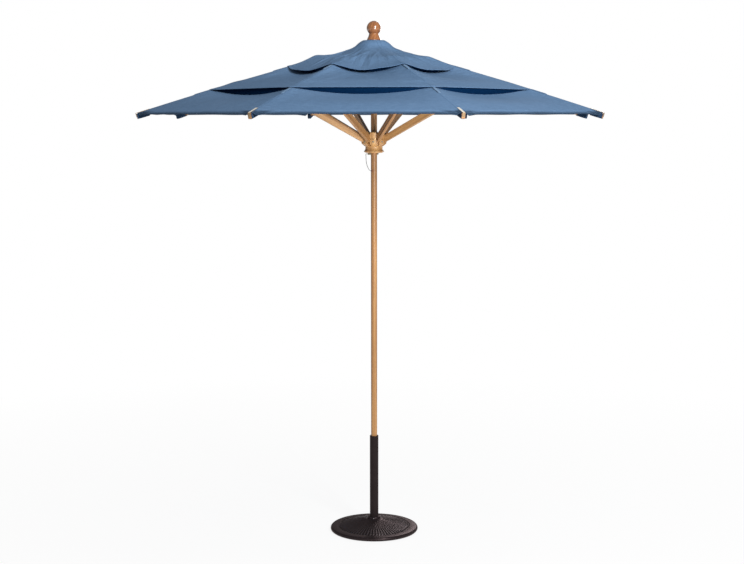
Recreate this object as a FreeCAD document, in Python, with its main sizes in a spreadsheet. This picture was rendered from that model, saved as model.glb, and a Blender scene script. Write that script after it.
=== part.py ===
import FreeCAD, Part
import math
import os
import Sketcher
from FreeCAD import Placement, Rotation, Vector

# A market umbrella of teak with a cast base. Millimetres, +Z up, origin on the floor under the pole.
# Eight ribs hinge on a wire ring in the crown, and eight struts hinge on a ring in the runner.

SIZES = {
    # pole
    "pole_diameter": 36,
    "pole_foot_gap": 0.25,
    "pole_top_rise": 13,
    "pole_socket_depth": 32,
    "plug_height": 1794,
    "plug_diameter": 9,
    "plug_depth": 12,
    # crown, and the wire ring that the ribs hinge on
    "crown_pivot_height": 2834,
    "crown_pivot_radius": 42,
    "crown_wall": 10,
    "crown_drop": 25,
    "crown_rise": 51,
    "crown_bevel": 6,
    "crown_slot_gap": 1,
    "ring_wire": 3.6,
    "ring_clearance": 0.15,
    "slot_clearance": 0.5,
    # ribs
    "rib_slope": 16.05,
    "rib_length": 1379,
    "rib_width": 17.5,
    "rib_depth": 30,
    "rib_tip_depth": 26,
    "rib_bow": 10,
    "bracket_distance": 636,
    # struts
    "strut_width": 17.5,
    "strut_depth": 36,
    "strut_tip_depth": 26,
    "strut_taper": 90,
    # bracket under each rib
    "bracket_length": 36,
    "bracket_drop": 19,
    "bracket_plate": 1.6,
    "rivet_diameter": 6,
    "rivet_clearance": 0.05,
    "seat_gap": 0.05,
    # brass strap over each rib's end
    "strap_length": 78,
    "strap_width": 13,
    "strap_plate": 1.8,
    "strap_drop": 22,
    # runner
    "runner_pivot_drop": 510,
    "runner_pivot_radius": 66,
    "runner_wall": 6,
    "runner_bore_clearance": 1,
    "runner_rise": 41,
    "runner_drop": 79.5,
    "runner_lobe_drop": 38,
    "runner_slot_gap": 2,
    "runner_waist_radius": 49.5,
    "runner_flange_radius": 58,
    "runner_well_inset": 15,
    "runner_well_floor": 20,
    # lock pin and its tether
    "pin_diameter": 12,
    "pin_clearance": 0.3,
    "pin_seat": 0.2,
    "pin_left": 36,
    "pin_right": 27,
    "pin_eye_radius": 5.5,
    "pin_eye_wire": 3.2,
    "anchor_diameter": 14,
    "anchor_drop": 97.3,
    "anchor_depth": 6,
    "tether_diameter": 3,
    # finial and its stud
    "finial_ball_radius": 41.5,
    "finial_foot_radius": 40,
    "finial_neck_radius": 28,
    "finial_rise": 112,
    "stud_diameter": 8,
    "stud_clearance": 0.1,
    # canopy
    "canopy_thickness": 1.2,
    "canopy_gap": 2.7,
    "canopy_seam_gap": 0.25,
    "canopy_top_overhang": 1.5,
    "crown_cloth_run": 58,
    "top_tier_reach": 520,
    "top_tier_flare": 52,
    "top_tier_droop": 42,
    "second_tier_lap": 50,
    "second_tier_reach": 965,
    "rim_tier_lap": 40,
    "second_tier_sag": 38,
    "rim_tier_sag": 36,
    # base
    "dish_radius": 260,
    "dish_rim_height": 24,
    "dish_rim_width": 51,
    "dish_flute_height": 29,
    "dish_crown_height": 70,
    "dish_wall": 11,
    "flute_count": 72,
    "flute_width_share": 0.74,
    "flute_depth": 2.8,
    "foot_lift": 2,
    "foot_pad_radius": 9,
    "foot_pad_height": 5,
    "foot_pad_inset": 24,
    "stem_diameter": 50.8,
    "stem_wall": 2.4,
    "stem_top_height": 573,
    "stem_plug_height": 30,
    "collar_wall": 12.6,
    "collar_height": 13,
    "bolt_diameter": 12,
    "bolt_head_diameter": 22,
    "bolt_head_height": 8,
    "washer_diameter": 60,
    "washer_thickness": 3,
    "set_screw_diameter": 6,
    "bushing_height": 70,
    "bushing_clearance": 0.3,
    # clamp behind the stem
    "clamp_height": 440,
    "clamp_screw_diameter": 10,
    "clamp_boss_diameter": 22,
    "clamp_boss_length": 9,
    "clamp_knob_diameter": 44,
    "clamp_knob_length": 18,
    "clamp_gap": 0.4,
}

RIBS = 8
TURN = 360 / RIBS
HALF_TURN = TURN / 2


class Size:
    """A length or angle, with the formula on the sheet that gives it."""

    def __init__(self, value, text):
        self.value = value
        self.text = text

    def __add__(self, other):
        other = as_size(other)
        return Size(self.value + other.value, f"({self.text} + {other.text})")

    def __sub__(self, other):
        other = as_size(other)
        return Size(self.value - other.value, f"({self.text} - {other.text})")

    def __mul__(self, other):
        other = as_size(other)
        return Size(self.value * other.value, f"({self.text} * {other.text})")

    def __truediv__(self, other):
        other = as_size(other)
        return Size(self.value / other.value, f"({self.text} / {other.text})")

    def __radd__(self, other):
        return as_size(other) + self

    def __rsub__(self, other):
        return as_size(other) - self

    def __rmul__(self, other):
        return as_size(other) * self

    def __neg__(self):
        return Size(-self.value, f"(-1 * {self.text})")


def as_size(number):
    return number if isinstance(number, Size) else Size(float(number), f"{number:.10g}")


def root(square):
    return Size(math.sqrt(square.value), f"sqrt({square.text})")


def sine(angle):
    return Size(math.sin(math.radians(angle.value)), f"sin({angle.text})")


def cosine(angle):
    return Size(math.cos(math.radians(angle.value)), f"cos({angle.text})")


def slope_of(rise, run):
    ratio = rise / run
    return Size(math.degrees(math.atan(ratio.value)), f"atan({ratio.text})")


doc = FreeCAD.newDocument("patio_umbrella")
sheet = doc.addObject("Spreadsheet::Sheet", "Sizes")
for row, (alias, number) in enumerate(SIZES.items(), 1):
    sheet.set(f"A{row}", alias)
    sheet.set(f"B{row}", f"{number}")
    sheet.setAlias(f"B{row}", alias)
doc.recompute()

finished = {}


def size(alias):
    return Size(float(SIZES[alias]), f"Sizes.{alias}")


def half(alias):
    return size(alias) / 2


def bind(item, field, amount):
    amount = as_size(amount)
    setattr(item, field, amount.value)
    item.setExpression(field, amount.text)


def put(item, x=0, y=0, z=0, rotation=None, turn=0):
    """Places an object at a point that follows the sheet, turned about the pole's axis."""
    c, s = math.cos(math.radians(turn)), math.sin(math.radians(turn))
    x, y, z = as_size(x), as_size(y), as_size(z)
    spot = (x * c - y * s, x * s + y * c, z)
    aim = Rotation(Vector(0, 0, 1), turn).multiply(rotation or Rotation())
    item.Placement = Placement(Vector(*(s.value for s in spot)), aim)
    for axis, s in zip("xyz", spot):
        item.setExpression(f"Placement.Base.{axis}", s.text)


def finish(item, label):
    """Names a sub-part; the label is its node's name."""
    item.Label = label
    finished[label] = item
    return item


def spin(item, angle):
    """Turns a placed object about the pole's axis."""
    item.Placement = Placement(Vector(), Rotation(Vector(0, 0, 1), angle)).multiply(item.Placement)


# ---- solids from primitives


def cylinder(name, radius, length, x=0, y=0, z=0, rotation=None):
    item = doc.addObject("Part::Cylinder", name)
    bind(item, "Radius", radius)
    bind(item, "Height", length)
    put(item, x, y, z, rotation)
    return item


def cone(name, low_radius, high_radius, length, x=0, y=0, z=0, rotation=None):
    item = doc.addObject("Part::Cone", name)
    bind(item, "Radius1", low_radius)
    bind(item, "Radius2", high_radius)
    bind(item, "Height", length)
    put(item, x, y, z, rotation)
    return item


def torus(name, radius, wire_radius, x=0, y=0, z=0, rotation=None):
    item = doc.addObject("Part::Torus", name)
    bind(item, "Radius1", radius)
    bind(item, "Radius2", wire_radius)
    put(item, x, y, z, rotation)
    return item


def fuse(name, items):
    item = doc.addObject("Part::MultiFuse", name)
    item.Shapes = items
    item.Refine = True
    return item


def cut(name, base, tool):
    item = doc.addObject("Part::Cut", name)
    item.Base = base
    item.Tool = tool
    return item


# ---- solids from sketches


def origin_feature(body, role):
    return next(f for f in body.Origin.OriginFeatures if f.Role == role)


def sketch_on(body, role, name, height=None):
    sketch = body.newObject("Sketcher::SketchObject", name)
    sketch.AttachmentSupport = (origin_feature(body, role), [""])
    sketch.MapMode = "FlatFace"
    if height is not None:
        sketch.AttachmentOffset = Placement(Vector(0, 0, height.value), Rotation())
        sketch.setExpression("AttachmentOffset.Base.z", height.text)
    return sketch


def fix_point(sketch, edge, end, x, y):
    """Ties one vertex to the sheet, measured from the sketch's origin."""
    for kind, amount, axis in (("DistanceX", x, -2), ("DistanceY", y, -1)):
        if abs(amount.value) < 1e-9:
            sketch.addConstraint(Sketcher.Constraint("PointOnObject", edge, end, axis))
        else:
            index = sketch.addConstraint(Sketcher.Constraint(kind, -1, 1, edge, end, amount.value))
            sketch.setExpression(f"Constraints[{index}]", amount.text)


def add_outline(sketch, corners):
    """Draws a closed outline. A corner is (x, y), or (x, y, rise) when the edge that leaves it is an
    arc that rises that far to the left of its chord, or to the right if the rise is negative."""
    places = [(as_size(c[0]), as_size(c[1])) for c in corners]
    rises = [as_size(c[2]).value if len(c) > 2 else 0 for c in corners]
    starts, ends = [], []
    for i, rise in enumerate(rises):
        here, there = places[i], places[(i + 1) % len(places)]
        p = Vector(here[0].value, here[1].value, 0)
        q = Vector(there[0].value, there[1].value, 0)
        if not rise:
            edge = sketch.addGeometry(Part.LineSegment(p, q), False)
            starts.append((edge, 1))
            ends.append((edge, 2))
            continue
        chord = q - p
        left = Vector(-chord.y, chord.x, 0).normalize()
        radius = (chord.Length**2 / 4 + rise**2) / (2 * abs(rise))
        centre = (p + q) / 2 + left * (rise - math.copysign(radius, rise))
        clockwise = rise > 0
        first, last = (q, p) if clockwise else (p, q)
        angles = [math.atan2(v.y - centre.y, v.x - centre.x) for v in (first, last)]
        circle = Part.Circle(centre, Vector(0, 0, 1), radius)
        edge = sketch.addGeometry(Part.ArcOfCircle(circle, *angles), False)
        starts.append((edge, 2 if clockwise else 1))
        ends.append((edge, 1 if clockwise else 2))
    for i, end in enumerate(ends):
        sketch.addConstraint(Sketcher.Constraint("Coincident", *end, *starts[(i + 1) % len(starts)]))
    for start, place in zip(starts, places):
        fix_point(sketch, *start, *place)


def add_circle(sketch, x, y, radius):
    x, y, radius = as_size(x), as_size(y), as_size(radius)
    edge = sketch.addGeometry(Part.Circle(Vector(x.value, y.value, 0), Vector(0, 0, 1), radius.value), False)
    index = sketch.addConstraint(Sketcher.Constraint("Radius", edge, radius.value))
    sketch.setExpression(f"Constraints[{index}]", radius.text)
    fix_point(sketch, edge, 3, x, y)


def new_body(label):
    return finish(doc.addObject("PartDesign::Body", label), label)


def across(body, kind, sketch, width):
    """A pad or pocket of a side outline, the same distance to both sides of it."""
    feature = body.newObject(f"PartDesign::{kind}", f"{sketch.Name}_{kind.lower()}")
    feature.Profile = sketch
    feature.SideType = "Symmetric"
    bind(feature, "Length", width)
    return feature


def turned(body, kind, sketch):
    """A revolution or groove of a half section about the body's own Z axis."""
    feature = body.newObject(f"PartDesign::{kind}", f"{sketch.Name}_{kind.lower()}")
    feature.Profile = sketch
    feature.ReferenceAxis = (sketch, ["V_Axis"])
    feature.Angle = 360
    return feature


def around(body, feature, count):
    """Repeats a feature evenly about the body's Z axis."""
    pattern = body.newObject("PartDesign::PolarPattern", f"{feature.Name}_pattern")
    pattern.Originals = [feature]
    pattern.Axis = (origin_feature(body, "Z_Axis"), [""])
    pattern.Angle = 360
    pattern.Occurrences = count
    body.Tip = pattern
    return pattern


def wire_slack(radius, width):
    """How far a round ring strays from straight inside a hole that is as long as a member is wide."""
    return radius - root(radius * radius - width * width / 4)


# ---- where the ribs and struts lie

rib_slope = size("rib_slope")
rib_half = half("rib_depth")
rib_length = size("rib_length")
bracket_at = size("bracket_distance")
crown_radius_at_pivot = size("crown_pivot_radius")
crown_height_at_pivot = size("crown_pivot_height")


def bow_at(distance):
    """How far a rib's bowed line stands above its chord."""
    share = (distance * 2 - rib_length) / rib_length
    return size("rib_bow") * (1 - share * share)


rib_underside_at_bracket = bow_at(bracket_at) - rib_half
strut_pivot_drop = size("bracket_drop") - rib_underside_at_bracket
strut_top_radius = (
    crown_radius_at_pivot + bracket_at * cosine(rib_slope) - strut_pivot_drop * sine(rib_slope)
)
strut_top_height = (
    crown_height_at_pivot - bracket_at * sine(rib_slope) - strut_pivot_drop * cosine(rib_slope)
)
runner_height = crown_height_at_pivot - size("runner_pivot_drop")
strut_run = strut_top_radius - size("runner_pivot_radius")
strut_rise = strut_top_height - runner_height
strut_length = root(strut_run * strut_run + strut_rise * strut_rise)
strut_slope = slope_of(strut_rise, strut_run)

ring_radius = half("ring_wire")
pole_top = crown_height_at_pivot + size("pole_top_rise")
pole_foot = (
    size("dish_crown_height") + size("seat_gap") + size("stem_plug_height") + size("pole_foot_gap")
)
crown_slot_floor = crown_radius_at_pivot - rib_half - size("crown_slot_gap")
pin_height = runner_height - size("runner_drop") - half("pin_diameter") - size("pin_seat")
anchor_height = pin_height - size("anchor_drop")
collar_radius = half("stem_diameter") + size("collar_wall")
flute_radius = size("dish_radius") - size("dish_rim_width")
rib_slot = size("rib_width") + size("slot_clearance") * 2
strut_slot = size("strut_width") + size("slot_clearance") * 2
crown_bottom = crown_height_at_pivot - size("crown_drop")
crown_top = crown_height_at_pivot + size("crown_rise")


def rib_turn(angle):
    """A rotation that takes +X down by an angle."""
    return Rotation(Vector(0, 1, 0), angle)


def put_on_rib(body, number):
    """Gives a body the rib's own frame: X along the rib from its hinge, Z square to it."""
    turn = HALF_TURN + TURN * (number - 1)
    put(body, crown_radius_at_pivot, 0, crown_height_at_pivot, rib_turn(rib_slope.value), turn)


# ---- pole


def make_pole():
    radius = half("pole_diameter")
    shaft = cylinder("pole_shaft", radius, pole_top - pole_foot, z=pole_foot)
    pin_hole = cylinder(
        "pole_pin_hole",
        half("pin_diameter") + size("pin_clearance"),
        size("pole_diameter") * 2,
        x=-size("pole_diameter"),
        z=pin_height,
        rotation=Rotation(Vector(0, 1, 0), 90),
    )
    stud_hole = cylinder(
        "pole_stud_hole",
        half("stud_diameter") + size("stud_clearance"),
        size("pole_socket_depth"),
        z=pole_top - size("pole_socket_depth"),
    )
    plug_hole = cylinder(
        "pole_plug_hole",
        half("plug_diameter"),
        size("plug_depth"),
        y=-radius - size("plug_depth") / 4,
        z=size("plug_height"),
        rotation=Rotation(Vector(1, 0, 0), -90),
    )
    anchor_hole = anchor_cylinder("pole_anchor_hole")
    holes = fuse("pole_holes", [pin_hole, stud_hole, plug_hole, anchor_hole])
    finish(cut("pole", shaft, holes), "pole")


ANCHOR_AZIMUTH = 240


def anchor_cylinder(name):
    """The round seat of the tether's anchor, square to the pole's surface."""
    radius = half("pole_diameter")
    towards = math.radians(ANCHOR_AZIMUTH)
    inner = radius - size("anchor_depth")
    return cylinder(
        name,
        half("anchor_diameter"),
        radius * 2 - inner,
        x=inner * math.cos(towards),
        y=inner * math.sin(towards),
        z=anchor_height,
        rotation=Rotation(Vector(0, 0, 1), Vector(math.cos(towards), math.sin(towards), 0)),
    )


def flush_with_pole(label, peg):
    """Trims a peg to the pole's own surface."""
    skin = cylinder(
        f"{label}_skin",
        half("pole_diameter"),
        size("pole_diameter") * 2,
        z=peg.Placement.Base.z - size("pole_diameter"),
    )
    item = doc.addObject("Part::MultiCommon", label)
    item.Shapes = [peg, skin]
    finish(item, label)


def make_plug_and_anchor():
    radius = half("pole_diameter")
    plug = cylinder(
        "plug_peg",
        half("plug_diameter"),
        size("plug_depth"),
        y=-radius - size("plug_depth") / 4,
        z=size("plug_height"),
        rotation=Rotation(Vector(1, 0, 0), -90),
    )
    flush_with_pole("pole_plug", plug)
    flush_with_pole("tether_anchor", anchor_cylinder("anchor_peg"))


# ---- crown and its ring


def make_crown():
    body = new_body("crown")
    bore = half("pole_diameter")
    outer = crown_radius_at_pivot + size("crown_wall")
    bevel = size("crown_bevel")
    stud = half("stud_diameter") + size("stud_clearance")
    section = sketch_on(body, "XZ_Plane", "crown_section")
    add_outline(
        section,
        [
            (bore, crown_bottom),
            (outer - bevel, crown_bottom, -bevel / 4),
            (outer, crown_bottom + bevel),
            (outer, crown_top - bevel * 2, bevel / 4),
            (outer - bevel, crown_top - bevel / 2),
            (outer - bevel * 1.5, crown_top),
            (stud, crown_top),
            (stud, pole_top),
            (bore, pole_top),
        ],
    )
    turned(body, "Revolution", section)
    groove = sketch_on(body, "XZ_Plane", "crown_wire_groove")
    inner = crown_radius_at_pivot - ring_radius - size("ring_clearance")
    reach = ring_radius + size("ring_clearance")
    add_outline(
        groove,
        [
            (inner, crown_height_at_pivot - reach),
            (outer + bevel, crown_height_at_pivot - reach),
            (outer + bevel, crown_height_at_pivot + reach),
            (inner, crown_height_at_pivot + reach),
        ],
    )
    turned(body, "Groove", groove)
    slot = sketch_on(body, "XZ_Plane", "crown_slot")
    roof = crown_height_at_pivot + rib_half + size("slot_clearance") * 3
    add_outline(
        slot,
        [
            (crown_slot_floor, crown_bottom - bevel),
            (outer + bevel, crown_bottom - bevel),
            (outer + bevel, roof),
            (crown_slot_floor, roof),
        ],
    )
    around(body, across(body, "Pocket", slot, rib_slot), RIBS)
    spin(body, HALF_TURN)
    ring = torus("crown_ring", crown_radius_at_pivot, ring_radius, z=crown_height_at_pivot)
    finish(ring, "crown_ring")


# ---- finial


finial_foot = crown_top + size("canopy_thickness") + size("seat_gap") * 2


def make_finial():
    body = new_body("finial")
    ball = size("finial_ball_radius")
    foot = size("finial_foot_radius")
    neck = size("finial_neck_radius")
    centre = finial_foot + size("finial_rise") - ball
    tie = centre - root(ball * ball - neck * neck)
    chord_height = (tie + ball - centre) / 2
    ball_rise = ball - root(neck * neck / 4 + chord_height * chord_height)
    stud = half("stud_diameter") + size("stud_clearance")
    depth = size("finial_rise") / 3
    section = sketch_on(body, "XZ_Plane", "finial_section")
    add_outline(
        section,
        [
            (stud, finial_foot),
            (foot - 2, finial_foot, -0.8),
            (foot, finial_foot + 3),
            (foot, finial_foot + 6),
            (foot - 2, finial_foot + 11, 0.7),
            (neck + 1, tie - 7, 0.3),
            (neck, tie - 3),
            (neck, tie, -ball_rise),
            (0, centre + ball),
            (0, finial_foot + depth),
            (stud, finial_foot + depth),
        ],
    )
    turned(body, "Revolution", section)
    bottom = pole_top - size("pole_socket_depth") + size("seat_gap")
    stud_length = finial_foot + depth - size("seat_gap") - bottom
    finish(cylinder("finial_stud", half("stud_diameter"), stud_length, z=bottom), "finial_stud")


# ---- ribs with their brackets and straps


def make_rib(number):
    body = new_body(f"rib_{number}")
    side = sketch_on(body, "XZ_Plane", f"rib_{number}_side")
    taper_at = bracket_at + 60
    inner_share = taper_at / rib_length
    outer_share = 1 - inner_share
    add_outline(
        side,
        [
            (0, rib_half, size("rib_bow")),
            (rib_length, rib_half),
            (rib_length, rib_half - size("rib_tip_depth"), size("rib_bow") * outer_share * outer_share * -1),
            (taper_at, bow_at(taper_at) - rib_half, size("rib_bow") * inner_share * inner_share * -1),
            (0, -rib_half, rib_half),
        ],
    )
    slack = wire_slack(crown_radius_at_pivot, size("rib_width"))
    add_circle(side, 0, 0, ring_radius + slack + size("ring_clearance"))
    across(body, "Pad", side, size("rib_width"))
    put_on_rib(body, number)


def make_bracket(number):
    body = new_body(f"rib_bracket_{number}")
    plate = size("bracket_plate")
    top = rib_underside_at_bracket - size("seat_gap")
    pivot = -strut_pivot_drop
    reach = half("bracket_length")
    lobe = 10
    inside = strut_slot
    outside = inside + plate * 2
    side = sketch_on(body, "XZ_Plane", f"bracket_{number}_side")
    add_outline(
        side,
        [
            (bracket_at - reach, top),
            (bracket_at - reach, top - plate * 2),
            (bracket_at - lobe, pivot, -lobe),
            (bracket_at + lobe, pivot),
            (bracket_at + reach, top - plate * 2),
            (bracket_at + reach, top),
        ],
    )
    across(body, "Pad", side, outside)
    gap = sketch_on(body, "XZ_Plane", f"bracket_{number}_gap")
    add_outline(
        gap,
        [
            (bracket_at - reach - lobe, top - plate),
            (bracket_at - reach - lobe, pivot - lobe * 2),
            (bracket_at + reach + lobe, pivot - lobe * 2),
            (bracket_at + reach + lobe, top - plate),
        ],
    )
    across(body, "Pocket", gap, inside)
    rivet = sketch_on(body, "XZ_Plane", f"bracket_{number}_rivet")
    add_circle(rivet, bracket_at, pivot, half("rivet_diameter"))
    across(body, "Pad", rivet, outside + plate)
    put_on_rib(body, number)


def make_strap(number):
    body = new_body(f"rib_strap_{number}")
    plate = size("strap_plate")
    cloth = size("canopy_gap") + size("canopy_thickness") + size("seat_gap") * 4
    start = rib_length - size("strap_length")
    outer = rib_length + size("seat_gap") * 10
    inner_top = rib_half + bow_at(start) + cloth
    outer_top = rib_half + cloth
    side = sketch_on(body, "XZ_Plane", f"strap_{number}_side")
    add_outline(
        side,
        [
            (start, inner_top),
            (outer, outer_top),
            (outer, outer_top - size("strap_drop")),
            (outer + plate, outer_top - size("strap_drop")),
            (outer + plate, outer_top, plate / 3),
            (outer, outer_top + plate),
            (start, inner_top + plate),
        ],
    )
    across(body, "Pad", side, size("strap_width"))
    put_on_rib(body, number)


# ---- struts


def make_strut(number):
    body = new_body(f"strut_{number}")
    foot = half("strut_depth")
    tip = half("strut_tip_depth")
    taper_at = strut_length - size("strut_taper")
    side = sketch_on(body, "XZ_Plane", f"strut_{number}_side")
    add_outline(
        side,
        [
            (0, -foot),
            (taper_at, -foot),
            (strut_length, -tip, -tip),
            (strut_length, tip),
            (taper_at, foot),
            (0, foot, -foot),
        ],
    )
    slack = wire_slack(size("runner_pivot_radius"), size("strut_width"))
    add_circle(side, 0, 0, ring_radius + slack + size("ring_clearance"))
    add_circle(side, strut_length, 0, half("rivet_diameter") + size("rivet_clearance"))
    across(body, "Pad", side, size("strut_width"))
    put(
        body,
        size("runner_pivot_radius"),
        0,
        runner_height,
        rib_turn(-strut_slope.value),
        HALF_TURN + TURN * (number - 1),
    )


# ---- runner and its ring


def make_runner():
    body = new_body("runner")
    pivot = runner_height
    bore = half("pole_diameter") + size("runner_bore_clearance")
    outer = size("runner_pivot_radius") + size("runner_wall")
    waist = size("runner_waist_radius")
    flange = size("runner_flange_radius")
    bottom = pivot - size("runner_drop")
    lobe_bottom = pivot - size("runner_lobe_drop")
    top = pivot + size("runner_rise")
    well = size("runner_pivot_radius") - size("runner_well_inset")
    well_floor = pivot + size("runner_well_floor")
    slot_floor = size("runner_pivot_radius") - half("strut_depth") - size("runner_slot_gap")
    section = sketch_on(body, "XZ_Plane", "runner_section")
    add_outline(
        section,
        [
            (bore, bottom),
            (flange - 10, bottom),
            (flange - 8, bottom + 2.5, -1),
            (flange - 1, bottom + 5.5, -0.5),
            (flange, bottom + 8),
            (flange - 0.5, bottom + 10.5, 2),
            (waist, bottom + 28),
            (waist, lobe_bottom - 7, 0.8),
            (waist + 4, lobe_bottom - 3.5),
            (outer - 6, lobe_bottom + 6.5, -2),
            (outer, lobe_bottom + 16),
            (outer, top - 8, -2.5),
            (outer - 7, top),
            (well, top),
            (well, well_floor),
            (bore, well_floor),
        ],
    )
    turned(body, "Revolution", section)
    groove = sketch_on(body, "XZ_Plane", "runner_wire_groove")
    inner = size("runner_pivot_radius") - ring_radius - size("ring_clearance")
    reach = ring_radius + size("ring_clearance")
    add_outline(
        groove,
        [
            (inner, pivot - reach),
            (outer + 5, pivot - reach),
            (outer + 5, pivot + reach),
            (inner, pivot + reach),
        ],
    )
    turned(body, "Groove", groove)
    slot = sketch_on(body, "XZ_Plane", "runner_slot")
    add_outline(
        slot,
        [
            (slot_floor, lobe_bottom - 2),
            (outer + 5, lobe_bottom - 2),
            (outer + 5, top + 5),
            (slot_floor, top + 5),
        ],
    )
    around(body, across(body, "Pocket", slot, strut_slot), RIBS)
    spin(body, HALF_TURN)
    ring = torus("runner_ring", size("runner_pivot_radius"), ring_radius, z=pivot)
    finish(ring, "runner_ring")


# ---- lock pin and its tether


def make_lock_pin():
    radius = half("pin_diameter")
    sideways = Rotation(Vector(0, 1, 0), 90)
    left = size("pin_left")
    right = size("pin_right")
    shank = cylinder(
        "pin_shank", radius, left + right - radius, x=-left, z=pin_height, rotation=sideways
    )
    nose = cone(
        "pin_nose",
        radius,
        radius / 2,
        radius,
        x=right - radius,
        z=pin_height,
        rotation=sideways,
    )
    eye = torus(
        "pin_eye",
        size("pin_eye_radius"),
        half("pin_eye_wire"),
        x=-left - size("pin_eye_radius"),
        z=pin_height,
    )
    finish(fuse("lock_pin", [shank, nose, eye]), "lock_pin")


TETHER_ROUTE = [
    (-47, 0, 2236.2),
    (-46, -7, 2211),
    (-42, -21, 2183.5),
    (-34.5, -29.5, 2161),
    (-24.5, -30.5, 2144.5),
    (-14, -24.5, 2139),
    (-9.05, -15.8, 2141),
]


def make_tether():
    """A limp cord: straight runs joined by tangent arcs."""
    points = [Vector(*point) for point in TETHER_ROUTE]
    runs = [(b - a).Length for a, b in zip(points, points[1:])]
    edges, radii = [], []
    last = points[0]
    for i in range(1, len(points) - 1):
        back = (points[i - 1] - points[i]).normalize()
        ahead = (points[i + 1] - points[i]).normalize()
        half_turn = (math.pi - back.getAngle(ahead)) / 2
        trim = 0.45 * min(runs[i - 1], runs[i])
        radius = trim / math.tan(half_turn)
        start = points[i] + back * trim
        end = points[i] + ahead * trim
        bisector = (back + ahead).normalize()
        centre = points[i] + bisector * (radius / math.cos(half_turn))
        middle = centre - bisector * radius
        edges.append(Part.LineSegment(last, start).toShape())
        edges.append(Part.Arc(start, middle, end).toShape())
        radii.append(radius)
        last = end
    edges.append(Part.LineSegment(last, points[-1]).toShape())
    path = Part.Wire(edges)
    radius = half("tether_diameter").value
    ring = Part.Wire([Part.Circle(points[0], points[1] - points[0], radius).toShape()])
    item = doc.addObject("Part::Feature", "tether")
    item.Shape = path.makePipeShell([ring], True, False)
    finish(item, "tether")
    share = item.Shape.Volume / (math.pi * radius**2 * path.Length)
    print(f"tether: {path.Length:.1f} mm long, arcs {[round(r, 1) for r in radii]}, volume share {share:.4f}")


# ---- canopy: a fixed patch on the crown, and one sector of cloth on each rib


def rib_top_height(radius):
    """How high a rib's upper edge stands at a distance from the pole."""
    slope = math.radians(rib_slope.value)
    run = radius - crown_radius_at_pivot.value
    along = as_size(run / math.cos(slope))
    lift = rib_half.value + bow_at(along).value
    return crown_height_at_pivot.value - run * math.tan(slope) + lift / math.cos(slope)


def cloth_tier(stations):
    """A closed sheet of cloth folded along the rib. A station is (radius on the rib, height there,
    how far the cloth reaches past and how far it drops midway to the next rib)."""
    thickness = Vector(0, 0, SIZES["canopy_thickness"])
    seam = SIZES["canopy_seam_gap"]
    half_angle = math.radians(HALF_TURN)
    outward = Vector(math.cos(half_angle), math.sin(half_angle), 0)
    aside = Vector(math.sin(half_angle), -math.cos(half_angle), 0)
    rows = []
    for radius, height, reach, drop in stations:
        on_rib = Vector(radius, 0, height)
        midway = outward * (radius * math.cos(half_angle)) + Vector(0, 0, height)
        fall = outward * reach - Vector(0, 0, drop)
        quarter = (on_rib + midway) / 2 + fall * 0.75
        middle = midway + fall + aside * seam
        near_side = [Vector(point.x, -point.y, point.z) for point in (middle, quarter)]
        rows.append([*near_side, on_rib, quarter, middle])
    faces = []
    last = len(rows[0]) - 1

    def patch(*corners):
        faces.append(Part.Face(Part.makePolygon([*corners, corners[0]])))

    for near, far in zip(rows, rows[1:]):
        for side in range(last):
            a, b, c, d = near[side], near[side + 1], far[side + 1], far[side]
            for lift in (Vector(), -thickness):
                patch(a + lift, b + lift, c + lift)
                patch(a + lift, c + lift, d + lift)
        for edge in (0, last):
            patch(near[edge], far[edge], far[edge] - thickness, near[edge] - thickness)
    for row in (rows[0], rows[-1]):
        for side in range(last):
            patch(row[side], row[side + 1], row[side + 1] - thickness, row[side] - thickness)
    solid = Part.makeSolid(Part.makeShell(faces))
    return solid if solid.Volume > 0 else solid.reversed()


def easing(value, low, high):
    """0 up to low, 1 from high, and smooth between."""
    share = min(max((value - low) / (high - low), 0), 1)
    return share * share * (3 - 2 * share)


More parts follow.
